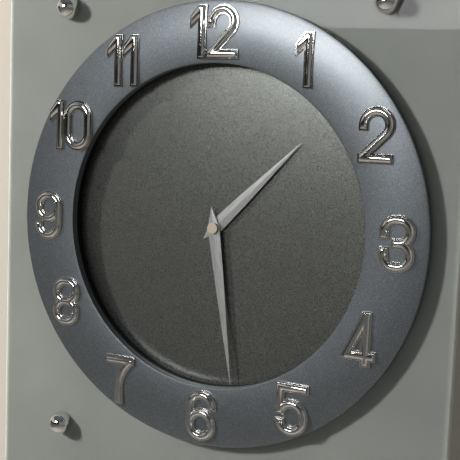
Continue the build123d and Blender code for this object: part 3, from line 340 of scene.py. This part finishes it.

# %% [markdown]
# The panel is 5 mm float glass. Its front is polished and its back is etched with acid, so light goes
# in, is scattered at the back and comes out pale grey-green. A full glass shader would block the lamps
# from the etched side and turn noisy. Instead the ground is matt and lets light spread a few millimetres
# inside it, and a thin clear coat adds what the polished front mirrors. Light that enters at the cut
# edges brightens a narrow band along them, and this glow is painted into the ground's colour as painted
# light. The wall of the round hole is painted black as painted shade: it stands for the shade inside the
# recess, so that the wall doesn't glow beside the dial.

# %% Frosted glass
glow_full = 1.2 * MM
glow_end = 3.4 * MM
etch_size = 0.6 * MM
cloud_size = 70 * MM
# Reach and soft border, from the hand axis, of the painted shade on the hole's wall.
shade_edge = 97.5 * MM
shade_border = 0.2 * MM
scatter_reach = 7 * MM

ring_low, ring_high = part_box("chapter_ring")
ring_rise = (ring_low.z + ring_high.z) / 2
glass_low, glass_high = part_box("glass_panel")
bench = Bench("frosted_glass")
x, _, z = bench.sides(bench.spot())
nearest_side = (x - glass_low.x).smallest(glass_high.x - x)
nearest_end = (z - glass_low.z).smallest(glass_high.z - z)
edge = nearest_side.smallest(nearest_end)
# Painted light: the ground is painted lighter in a narrow band along every cut edge, for the light that
# enters there.
glow = bench.spread(edge, glow_full, glow_end, 1.0, 0.0)
etch = bench.noise(etch_size, roughness=0.7)
cloud = bench.noise(cloud_size)
ground = bench.blend(bench.vary(cloud), colour(154, 160, 156), colour(166, 171, 167))
ground = bench.blend(bench.vary(etch) * 0.16, ground, colour(176, 182, 172))
ground = bench.blend(glow * 0.55, ground, colour(196, 204, 192))
# Painted shade: the wall of the round hole is coloured black and loses its clear coat, for the shade
# inside the recess.
hole_shade = bench.spread(bench.radius(ring_rise), shade_edge, shade_edge + shade_border, 1.0, 0.0)
ground = bench.blend(hole_shade, ground, colour(16, 16, 16))
frosted_glass = bench.finish(
    Base_Color=ground,
    Roughness=bench.spread(etch, 0.0, 1.0, 0.5, 0.62),
    Coat_Weight=(1.0 - hole_shade) * 0.2,
    Coat_Roughness=0.015,
    Coat_IOR=1.5,
    Specular_IOR_Level=0.2,
    Subsurface_Weight=1.0,
    Subsurface_Radius=(1.0, 1.0, 1.0),
    Subsurface_Scale=scatter_reach,
)
dress(frosted_glass, "glass_panel")
print("glass nodes:", len(bench.tree.nodes))

# %% [markdown]
# The numerals, the dome caps and the posts are bright plate: a mirror with a
# very slight ripple left from moulding and a hint of warmth in the metal.

# %% Bright plate
ripple_size = 3.2 * MM
ripple_depth = 0.05 * MM
haze_size = 9 * MM

bench = Bench("bright_plate")
ripple = bench.noise(ripple_size)
haze = bench.noise(haze_size, detail=3.0, roughness=0.6)
bright_plate = bench.finish(
    Base_Color=bench.blend(haze, colour(232, 230, 225), colour(242, 241, 238)),
    Metallic=1.0,
    Roughness=bench.spread(haze, 0.3, 0.8, 0.05, 0.13),
    Normal=bench.bump(ripple, ripple_depth, 0.35),
)
numerals = ["numeral_%02d" % hour for hour in range(1, 13)]
dress(bright_plate, "dome_caps", "standoff_barrels", *numerals)
print("plate on", len(numerals), "numerals")

# %% [markdown]
# The ring is turned from one section: a flat back, straight sides, a small round
# at each front rim, and between them a face that rises a little in a shallow
# arc. The section is a list of points whose x is a radius and whose y is a
# distance in front of the wall.

# %% The ring's section
ring_width = 36.0 * MM
ring_crown = 1.2 * MM
outer_round = 0.4 * MM
inner_round = 0.3 * MM
face_steps = 24
round_steps = 6

ring_outer = (ring_high.x - ring_low.x) / 2
ring_inner = ring_outer - ring_width
ring_middle = ring_outer - ring_width / 2
crown_radius = (ring_width**2 / 4 + ring_crown**2) / (2 * ring_crown)
crown_centre = Vector((ring_middle, -ring_low.y - crown_radius))


def rim_round(side, rim, radius):
    """Points of the round between a side wall and the crowned face."""
    across = rim - side * radius - crown_centre.x
    centre = crown_centre + Vector((across, sqrt((crown_radius - radius) ** 2 - across**2)))
    reach = atan2(centre.y - crown_centre.y, side * across)
    turns = [reach * step / round_steps for step in range(round_steps + 1)]
    return [centre + radius * Vector((side * cos(turn), sin(turn))) for turn in turns]


def ring_section():
    """The ring's section, from the back of its outer side to the back of its inner."""
    outer = rim_round(1, ring_outer, outer_round)
    inner = rim_round(-1, ring_inner, inner_round)[::-1]
    face = []
    for step in range(1, face_steps):
        radius = outer[-1].x + (inner[0].x - outer[-1].x) * step / face_steps
        rise = sqrt(crown_radius**2 - (radius - crown_centre.x) ** 2)
        face.append(Vector((radius, crown_centre.y + rise)))
    back = -ring_high.y
    return [Vector((ring_outer, back)), *outer, *face, *inner, Vector((ring_inner, back))]


print("points in the ring's section:", len(ring_section()))

# %% [markdown]
# The solid in the frame has the same section, but its triangles run thin along
# the rims and would show as dots in the lacquer. A lathe of even, narrow quads
# has no such triangles, so the light runs round the ring without a break.

# %% The lathed ring
ring_turns = 360
ring_crease = radians(35)


def lathed(name, section, rise, turns):
    """A closed ring of quads: a section turned round an axis at some height."""
    spots = []
    for turn in range(turns):
        angle = 2 * pi * turn / turns
        for point in section:
            spots.append((point.x * cos(angle), -point.y, rise + point.x * sin(angle)))
    count = len(section)
    quads = []
    for turn in range(turns):
        here = turn * count
        after = (turn + 1) % turns * count
        for step in range(count):
            along = (step + 1) % count
            quads.append((here + step, here + along, after + along, after + step))
    mesh = bpy.data.meshes.new(name)
    mesh.from_pydata(spots, [], quads)
    form = bmesh.new()
    form.from_mesh(mesh)
    bmesh.ops.recalc_face_normals(form, faces=form.faces)
    for face in form.faces:
        face.smooth = True
    form.to_mesh(mesh)
    form.free()
    mesh.set_sharp_from_angle(angle=ring_crease)
    piece = bpy.data.objects.new(name, mesh)
    bpy.context.scene.collection.objects.link(piece)
    return piece


ring = lathed("ring_turned", ring_section(), ring_rise, ring_turns)
ring.data.materials.append(ring_lacquer)
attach(ring, "clock")
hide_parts("chapter_ring")
print("ring faces:", len(ring.data.polygons), "outer radius:", round(ring_outer / MM, 2))

# %% [markdown]
# Each numeral is a chromed moulding: a thin flat flange with a rounded bead along
# the middle of every stroke. The bead is what draws the bright and dark lines in
# the chrome, so its shape matters more than its colour. The solid in the frame
# has a ridge with flat sides and a flat top. A bead could be swept along each
# stroke, but the strokes meet in corners that a sweep leaves rough. Instead three
# steps work on a copy of the solid. The flange's top becomes one face, its outer
# edge is rounded, and the ridge's flat top is drawn in a few times, a little
# higher and a little less steep each time, which makes a crown that follows
# every corner by itself.

# %% Steps from a ridge to a bead
crown_steps = [(0.3 * MM, 0.25 * MM), (0.34 * MM, 0.16 * MM), (0.36 * MM, 0.07 * MM)]
flange_round = 0.2 * MM
flange_segments = 2
shelf_drop = 0.5 * MM
flat_share = 0.999


def level_of(face):
    """How far a face's middle is in front of the wall."""
    return -face.calc_center_median().y


def faces_front(face):
    """Whether a face lies flat and looks at the viewer."""
    return face.normal.y < -flat_share


def on_shelf(face, front):
    """Whether a face is the flange's flat top, well behind the ridge's top."""
    return faces_front(face) and front - level_of(face) > shelf_drop


def shelf_edges(form, front):
    """The edges of the flange's top, in the mesh's own order, so each run is the same."""
    return [edge for edge in form.edges if any(on_shelf(face, front) for face in edge.link_faces)]


def join_shelf(form, front):
    """Take out the seams between the triangles of the flange's top."""
    edges = shelf_edges(form, front)
    seams = [edge for edge in edges if all(map(faces_front, edge.link_faces))]
    bmesh.ops.dissolve_edges(form, edges=seams, use_verts=False)


def round_flange(form, front):
    """Round the outer edge of the flange's top."""
    edges = [edge for edge in shelf_edges(form, front) if edge.is_convex]
    rims = [edge for edge in edges if not all(map(faces_front, edge.link_faces))]
    bmesh.ops.bevel(
        form,
        geom=rims,
        offset=flange_round,
        segments=flange_segments,
        profile=0.5,
        affect="EDGES",
        clamp_overlap=False,
    )


def raise_crown(form, crest):
    """Draw the ridge's top in and up, less steeply each time."""
    for thickness, depth in crown_steps:
        bmesh.ops.inset_region(form, faces=crest, thickness=thickness, depth=depth, use_even_offset=True)


print("crown rises", round(sum(depth for _, depth in crown_steps) / MM, 2), "mm")

# %% [markdown]
# The three steps run on each of the twelve numerals. The copies keep their plate
# from the CAD nodes, and a modifier shades the flats flat and the bead round. The
# bevel leaves its points and faces in a new order on each run, and that order
# would show in the shading. So they are sorted by place first, and each run gives
# the same numeral. The crown's steps meet its sides at 40 to 50 degrees, and the
# crease angle is above that, so they shade as one round bead.

# %% Beaded numerals
merge_gap = 0.02 * MM
bead_crease = radians(60)


def sorted_by_place(form):
    """Points in the order of their places, and faces as lists of point numbers."""
    spots = sorted(tuple(vert.co) for vert in form.verts)
    numbers = {spot: number for number, spot in enumerate(spots)}
    faces = [[numbers[tuple(vert.co)] for vert in face.verts] for face in form.faces]
    return spots, sorted(faces, key=sorted)


def beaded(name):
    """A copy of a numeral with a crowned bead and a softened flange."""
    mesh = nodes[name].data.copy()
    form = bmesh.new()
    form.from_mesh(mesh)
    bmesh.ops.remove_doubles(form, verts=form.verts, dist=merge_gap)
    front = max(level_of(face) for face in form.faces)
    join_shelf(form, front)
    fronts = [face for face in form.faces if faces_front(face)]
    crest = [face for face in fronts if front - level_of(face) < shelf_drop]
    round_flange(form, front)
    raise_crown(form, crest)
    spots, faces = sorted_by_place(form)
    form.free()
    mesh.clear_geometry()
    mesh.from_pydata(spots, [], faces)
    mesh.shade_smooth()
    mesh.set_sharp_from_angle(angle=bead_crease)
    piece = bpy.data.objects.new(name + "_bead", mesh)
    bpy.context.scene.collection.objects.link(piece)
    flats = piece.modifiers.new("flats", "WEIGHTED_NORMAL")
    flats.keep_sharp = True
    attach(piece, "clock")
    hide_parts(name)
    return piece


beads = [beaded(name) for name in numerals]
print("beaded numerals:", len(beads), "faces on the 3:", len(beads[2].data.polygons))

# %% [markdown]
# The hands are thin folded metal with a satin silver finish. The brush marks run
# along each hand, so the noise is stretched along the hand's own direction. The
# direction comes from the frame: it is the line from the hand axis to the far
# corner of the hand's box.

# %% Satin silver of the hands
mark_size = 0.35 * MM
mark_depth = 0.02 * MM
mark_squeeze = 0.03
wear_size = 12 * MM


def satin_silver(name, towards):
    """Brushed silver with its marks along one direction in the dial's plane."""
    bench = Bench(name)
    way = Vector((towards[0], 0, towards[1])).normalized()
    across = Vector((-way.z, 0, way.x))
    place = bench.spot()
    run = bench.along(place, way) * mark_squeeze
    side = bench.along(place, across)
    line = bench.node("ShaderNodeCombineXYZ", None, {0: run, 1: side, 2: 0.0})
    marks = bench.noise(mark_size, detail=3.0, roughness=0.6, vector=line)
    wear = bench.noise(wear_size)
    tone = bench.blend(bench.vary(marks), colour(158, 160, 160), colour(206, 208, 207))
    tone = bench.blend(bench.spread(wear, 0.4, 0.7) * 0.2, tone, colour(176, 176, 172))
    return bench.finish(
        Base_Color=tone,
        Metallic=0.55,
        Roughness=bench.vary(marks, 0.34, 0.5),
        Normal=bench.bump(marks, mark_depth, 0.4),
    )


_, hour_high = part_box("hour_hand")
minute_low, minute_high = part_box("minute_hand")
hour_tip = (hour_high.x, hour_high.z)
minute_tip = (minute_high.x, minute_low.z)
dress(satin_silver("hour_silver", hour_tip), "hour_hand")
dress(satin_silver("minute_silver", minute_tip), "minute_hand")
print("hour hand points to", [round(side / MM, 1) for side in hour_tip])

# %% [markdown]
# Small turned and plated pieces: brass hubs and bushing, the bright collar under
# the hands' cap, and plated or plain steel. Each has the fine marks of its own
# process: rings from turning, streaks from rolling, spangles from plating.

# %% Turned and plated metals
lathe_mark = 0.16 * MM
lathe_depth = 0.01 * MM
tarnish_size = 2.5 * MM
streak_size = 0.9 * MM
streak_depth = 0.02 * MM
streak_stretch = (0.08, 1.0, 1.0)


def turned_metal(name, dark, light, roughness):
    """Metal with fine rings round the hand axis from the lathe."""
    bench = Bench(name)
    rings = (bench.radius() / lathe_mark).sine()
    cloud = bench.noise(tarnish_size, detail=3.0, roughness=0.6)
    share = bench.spread(rings * 0.3 + cloud, 0.2, 0.9)
    return bench.finish(
        Base_Color=bench.blend(share, dark, light),
        Metallic=1.0,
        Roughness=bench.vary(cloud, roughness, roughness + 0.1),
        Normal=bench.bump(rings, lathe_depth, 0.3),
    )


def plated_steel(name, dark, light, spangle_size):
    """Steel with soft spangles and a slight direction from rolling."""
    bench = Bench(name)
    spangle = bench.cells(spangle_size)[0]
    rolled = bench.stretch(bench.spot(), streak_stretch)
    streak = bench.noise(streak_size, detail=3.0, roughness=0.6, vector=rolled)
    share = bench.spread(spangle * 0.5 + streak, 0.3, 1.1)
    return bench.finish(
        Base_Color=bench.blend(share, dark, light),
        Metallic=1.0,
        Roughness=bench.vary(streak, 0.28, 0.42),
        Normal=bench.bump(streak, streak_depth, 0.3),
    )


brass = turned_metal("turned_brass", colour(168, 132, 70), colour(206, 172, 104), roughness=0.22)
collar_metal = turned_metal(
    "turned_collar", colour(196, 194, 188), colour(228, 226, 220), roughness=0.15
)
zinc = plated_steel(
    "zinc_plate", colour(150, 152, 154), colour(190, 192, 194), spangle_size=1.4 * MM
)
spring_steel = plated_steel(
    "spring_steel", colour(176, 176, 172), colour(208, 208, 204), spangle_size=0.8 * MM
)
core_steel = plated_steel(
    "core_steel", colour(112, 112, 112), colour(148, 148, 147), spangle_size=1.1 * MM
)
crystal_can = plated_steel(
    "crystal_can", colour(184, 185, 186), colour(214, 215, 216), spangle_size=0.6 * MM
)
dress(brass, "mounting_bushing", "bushing_nut", "hour_hub", "minute_hub", "minute_arbor")
dress(collar_metal, "cap_collar")
dress(zinc, "hanger_bar", "bar_screws", "standoff_studs", "case_screws")
dress(spring_steel, "contact_minus", "contact_plus", "clutch_spring")
dress(core_steel, "coil_core", "stator_plate")
dress(crystal_can, "quartz_crystal")
print("turned and plated:", len(dressed), "nodes dressed so far")

# %% [markdown]
# The cap on the hands is a disc of cream enamel. It is almost even, with faint
# clouds, a few darker specks and a soft gloss.

# %% Cream enamel
enamel_cloud = 1.6 * MM
speck_size = 0.35 * MM
enamel_depth = 0.04 * MM

bench = Bench("cream_enamel")
cloud = bench.noise(enamel_cloud, detail=3.0, roughness=0.6)
speck = bench.spread(bench.cells(speck_size)[0], 0.93, 1.0)
enamel = bench.blend(cloud, colour(196, 184, 164), colour(216, 206, 186))
enamel = bench.blend(speck * 0.35, enamel, colour(160, 146, 126))
cream_enamel = bench.finish(
    Base_Color=enamel,
    Roughness=bench.vary(cloud, 0.32, 0.44),
    Coat_Weight=0.3,
    Coat_Roughness=0.15,
    Normal=bench.bump(cloud, enamel_depth, 0.3),
)
dress(cream_enamel, "hand_cap")
print("enamel nodes:", len(bench.tree.nodes))

# %% [markdown]
# The moulded pieces differ mostly in their skin. The movement case has a fine
# spark-eroded grain, the gears and washers are natural nylon with soft waxy
# highlights, and the pads and tapes are black foam and rubber with open pores.

# %% Moulded plastics, rubber and foam
flow_size = 14 * MM


def moulded(name, dark, light, grain, depth, roughness):
    """Moulded plastic with slight flow clouds and a grain of some size and depth."""
    bench = Bench(name)
    skin = bench.noise(grain, roughness=0.6)
    flow = bench.noise(flow_size, detail=3.0, roughness=0.6)
    return bench.finish(
        Base_Color=bench.blend(bench.vary(flow), colour(*dark), colour(*light)),
        Roughness=bench.vary(skin, roughness, roughness + 0.14),
        Normal=bench.bump(skin, depth, 0.5),
    )


case_black = moulded(
    "case_black", (34, 34, 35), (44, 44, 45), grain=0.35 * MM, depth=0.05 * MM, roughness=0.42
)
nylon = moulded(
    "natural_nylon", (222, 221, 212), (234, 233, 226), grain=0.5 * MM, depth=0.01 * MM, roughness=0.3
)
acetal = moulded(
    "white_acetal", (206, 207, 202), (220, 221, 217), grain=0.5 * MM, depth=0.01 * MM, roughness=0.26
)
foam = moulded(
    "black_foam", (22, 22, 22), (34, 34, 33), grain=0.22 * MM, depth=0.12 * MM, roughness=0.85
)
rubber = moulded(
    "pad_rubber", (30, 30, 30), (42, 41, 40), grain=0.5 * MM, depth=0.04 * MM, roughness=0.66
)
chip_resin = moulded(
    "chip_resin", (26, 26, 27), (34, 34, 35), grain=0.18 * MM, depth=0.02 * MM, roughness=0.5
)
magnet_skin = moulded(
    "magnet_skin", (52, 51, 50), (66, 65, 63), grain=0.25 * MM, depth=0.03 * MM, roughness=0.5
)
dress(case_black, "movement_case", "movement_cover")
dress(nylon, "front_washers", "rear_washers", "setting_knob", "setting_pinion")
dress(nylon, "hour_wheel", "motion_wheel", "centre_wheel", "coil_bobbin")
dress(acetal, "train_plate", "third_wheel", "second_wheel", "intermediate_wheel", "rotor_pinion")
dress(foam, "ring_tape", "dial_tape", "gasket_washer")
dress(rubber, "wall_pads")
dress(chip_resin, "control_chip")
dress(magnet_skin, "rotor_magnet")
print("moulded:", len(dressed), "nodes dressed so far")

# %% [markdown]
# Two finishes inside the movement are woven or wound: the green resin board with
# the weave of its glass cloth just showing, and the enamelled copper wire in
# close turns round the upright core. Both come from waves along an axis.

# %% Board and wire
thread = 0.45 * MM
weave_depth = 0.01 * MM
wire_mark = 0.05 * MM
wire_depth = 0.03 * MM
patch_size = 1.5 * MM

bench = Bench("resin_board")
x, _, z = bench.sides(bench.spot())
warp = (x / thread).sine()
weft = (z / thread).sine()
weave = bench.spread(warp * weft, -1.0, 1.0)
resin_board = bench.finish(
    Base_Color=bench.blend(weave, colour(26, 82, 50), colour(38, 102, 64)),
    Roughness=0.4,
    Coat_Weight=0.5,
    Coat_Roughness=0.15,
    Normal=bench.bump(weave, weave_depth, 0.4),
)
dress(resin_board, "circuit_board")

bench = Bench("copper_wire")
up = bench.sides(bench.spot())[2]
turns = (up / wire_mark).sine()
patch = bench.noise(patch_size)
copper_wire = bench.finish(
    Base_Color=bench.blend(patch, colour(140, 66, 36), colour(186, 100, 56)),
    Metallic=0.8,
    Roughness=0.3,
    Coat_Weight=0.4,
    Coat_Roughness=0.1,
    Normal=bench.bump(turns, wire_depth, 0.6),
)
dress(copper_wire, "coil_winding")
print("board and wire:", len(dressed), "nodes dressed so far")

# %% [markdown]
# The cell has a plain printed sleeve: grey over most of its length, a pale brass
# band towards one end, and bare metal at both ends. The parts of the print are
# shares of the cell's length, which comes from the frame.

# %% Sleeve of the cell
sleeve_reach_share = 0.465
band_start_share = 0.7
print_border_share = 0.005
smudge_size = 6 * MM
smudge_depth = 0.02 * MM

cell_low, cell_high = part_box("dry_cell")
bench = Bench("cell_sleeve")
length_share = bench.spread(bench.sides(bench.spot())[0], cell_low.x, cell_high.x)
from_middle = (length_share - 0.5).absolute()
cloud = bench.noise(smudge_size, detail=3.0, roughness=0.6)
bare = bench.spread(from_middle, sleeve_reach_share, sleeve_reach_share + print_border_share)
band = bench.spread(length_share, band_start_share, band_start_share + print_border_share)
sleeve = bench.blend(cloud, colour(96, 99, 104), colour(112, 115, 120))
sleeve = bench.blend(band, sleeve, colour(186, 170, 120))
sleeve = bench.blend(bare, sleeve, colour(200, 200, 198))
cell_sleeve = bench.finish(
    Base_Color=sleeve,
    Metallic=0.5,
    Roughness=bench.vary(cloud, 0.26, 0.38),
    Normal=bench.bump(cloud, smudge_depth, 0.2),
)
dress(cell_sleeve, "dry_cell")
print("dressed nodes:", len(dressed), "of", len(nodes))
print("not dressed:", sorted(set(nodes) - set(dressed)))

# %% [markdown]
# The clock hangs on a wall above a plain pale floor. Neither is part of the clock. The wall stands right
# behind the four pads, where the real wall is, and takes the panel's shadow. A plain wall would hide the
# back of the clock from a camera behind it, so the wall is made clear from behind and clear to light on
# its way to a surface.

# %% Wall and floor
wall_gap = 0.2 * MM
wall_reach = 3.0
wall_top = 2.5
floor_level = -1.5
floor_reach = 9.0
cloud_size = 120 * MM
plaster_grain = 2.5 * MM
plaster_depth = 0.2 * MM


def sheet(name, corners, material):
    """A flat stage sheet from its four corners."""
    mesh = bpy.data.meshes.new(name)
    mesh.from_pydata(corners, [], [(0, 1, 2, 3)])
    mesh.materials.append(material)
    made = bpy.data.objects.new(name, mesh)
    bpy.context.scene.collection.objects.link(made)


def plaster(name, dark, light):
    """Matt paint on plaster."""
    bench = Bench(name)
    cloud = bench.noise(cloud_size, detail=3.0, roughness=0.6)
    grain = bench.noise(plaster_grain)
    bench.finish(
        Base_Color=bench.blend(cloud, dark, light),
        Roughness=0.85,
        Normal=bench.bump(grain, plaster_depth, 0.3),
    )
    return bench


def one_sided(bench):
    """See-through from behind, and clear to light on its way to a surface."""
    behind = bench.node("ShaderNodeNewGeometry", output="Backfacing")
    in_shadow = bench.node("ShaderNodeLightPath", output="Is Shadow Ray")
    clear = bench.node("ShaderNodeBsdfTransparent", output="BSDF")
    paint = Flow(bench, bench.shader.outputs[0])
    values = {0: behind.largest(in_shadow), 1: paint, 2: clear}
    mixed = bench.node("ShaderNodeMixShader", None, values)
    bench.feed(bench.tree.nodes["Material Output"].inputs["Surface"], mixed)
    return bench


wall_paint = one_sided(plaster("wall_paint", colour(222, 215, 204), colour(230, 223, 213)))
floor_paint = plaster("floor_paint", colour(214, 212, 208), colour(222, 220, 216))
sheet(
    "wall",
    [
        (-wall_reach, wall_gap, floor_level),
        (wall_reach, wall_gap, floor_level),
        (wall_reach, wall_gap, wall_top),
        (-wall_reach, wall_gap, wall_top),
    ],
    wall_paint.material,
)
sheet(
    "floor",
    [
        (-floor_reach, -floor_reach, floor_level),
        (floor_reach, -floor_reach, floor_level),
        (floor_reach, floor_reach, floor_level),
        (-floor_reach, floor_reach, floor_level),
    ],
    floor_paint.material,
)
print("floor is", -floor_level, "m below the hand axis")

# %% [markdown]
# The light of a plain studio. The main lamp stands high at the left and is small
# enough to draw the hands' shadows on the dial with a firm edge. Its direction
# follows from those shadows: for each millimetre of depth they run 1.385 mm to
# the right and 0.625 mm down. The sheen on the two lacquers peaks at the upper
# right, so it comes from somewhere else: a broad lamp in front, just above what
# the flat glass mirrors. One lamp could not do both. So the main lamp gives only
# matt light and the sheen lamp only mirrored light, and neither spoils the work
# of the other. A third lamp behind the clock lights its back, because the wall
# lets light through.

# %% Lamps
shadow_run = 1.385
shadow_drop = 0.625
main_distance = 1.8
main_size = (0.12, 0.12)
main_watts = 33
main_tint = (1.0, 0.97, 0.93)
sheen_place = Vector((-0.38, -1.52, 0.46))
sheen_size = (0.62, 0.36)
sheen_watts = 9.5
sheen_tint = (0.98, 0.99, 1.0)
back_place = Vector((-0.9, 1.1, 1.0))
back_size = (0.7, 0.7)
back_watts = 13
back_tint = (1.0, 0.98, 0.95)


def soft_lamp(name, place, size, watts, tint):
    """A rectangular lamp that faces the middle of the dial."""
    lamp = bpy.data.lights.new(name, "AREA")
    lamp.shape = "RECTANGLE"
    lamp.size = size[0]
    lamp.size_y = size[1]
    lamp.energy = watts
    lamp.color = tint
    made = bpy.data.objects.new(name, lamp)
    made.location = place
    made.rotation_euler = (-place).to_track_quat("-Z", "Y").to_euler()
    bpy.context.scene.collection.objects.link(made)
    return made


light_way = Vector((-shadow_run, -1.0, shadow_drop)).normalized()
main_lamp = soft_lamp("main_lamp", light_way * main_distance, main_size, main_watts, main_tint)
main_lamp.visible_glossy = False
sheen_lamp = soft_lamp("sheen_lamp", sheen_place, sheen_size, sheen_watts, sheen_tint)
sheen_lamp.visible_diffuse = False
soft_lamp("back_lamp", back_place, back_size, back_watts, back_tint)
print("main lamp from", [round(side, 2) for side in light_way])

# %% [markdown]
# Bright metal shows little of its own colour: it shows the room. So the world is
# painted as a room, from a pale floor over a dark band above the horizon to a
# grey ceiling. The dark band is what the flat glass and most of the lacquer
# mirror. Two lighter patches with soft edges, a side wall at the right and a
# screen at the left, draw the bright lines in the beads and the caps. The same
# room gives the soft light that fills the shadows.

# %% The room that the metal mirrors
room_shades = [
    (0.0, colour(156, 150, 140)),
    (0.43, colour(136, 132, 126)),
    (0.5, colour(26, 26, 27)),
    (0.62, colour(34, 34, 36)),
    (0.8, colour(92, 94, 98)),
    (1.0, colour(130, 132, 136)),
]
room_strength = 0.6

world = bpy.data.worlds.new("studio")
bpy.context.scene.world = world
room = Bench("room", world)
x, _, z = room.sides(room.node("ShaderNodeTexCoord", output="Generated"))


def room_patch(side, low, high):
    """How far a direction is inside three soft edges: at one side, below and above."""
    return room.spread(x, *side) * room.spread(z, *low) * room.spread(z, *high)


side_wall = room_patch(side=(0.35, 0.5), low=(-0.2, -0.1), high=(0.5, 0.4))
screen = room_patch(side=(-0.45, -0.55), low=(0.1, 0.16), high=(0.62, 0.5))
mirrored = room.node("ShaderNodeValToRGB", {"stops": room_shades}, {0: z * 0.5 + 0.5})
mirrored = room.blend(side_wall, mirrored, colour(150, 150, 148))
mirrored = room.blend(screen, mirrored, colour(226, 226, 224))
room.finish(Color=mirrored, Strength=room_strength)
print("room nodes:", len(room.tree.nodes))

# %% [markdown]
# The camera stands to the right of the clock, a little above its centre and
# about 60 cm away, and looks in at an angle. Its place was found from the
# ellipses of the ring and the opening in the photograph, which fix the viewing
# direction, and from how much nearer the right side looks than the left, which
# fixes the distance. It is held slightly tilted, as the upright strokes of the
# photograph show. The lens and the sensor are in millimetres, as on any camera.

# %% Camera
camera_place = Vector((251.86, -529.75, 61.03)) * MM
camera_target = Vector((0.31, 0.0, -3.0)) * MM
camera_roll = radians(2.214)
lens_length = 74.36
sensor_width = 36.0
nearest_seen = 10 * MM

camera_data = bpy.data.cameras.new("camera")
camera_data.sensor_width = sensor_width
camera_data.lens = lens_length
camera_data.clip_start = nearest_seen
camera = bpy.data.objects.new("camera", camera_data)
look = (camera_target - camera_place).to_track_quat("-Z", "Y").to_matrix().to_4x4()
camera.matrix_world = Matrix.Translation(camera_place) @ look @ Matrix.Rotation(camera_roll, 4, "Z")
bpy.context.scene.collection.objects.link(camera)
bpy.context.scene.camera = camera
bpy.context.scene.view_settings.view_transform = "Standard"
print("camera is", round(camera_place.length, 3), "m from the hand axis")

# %% [markdown]
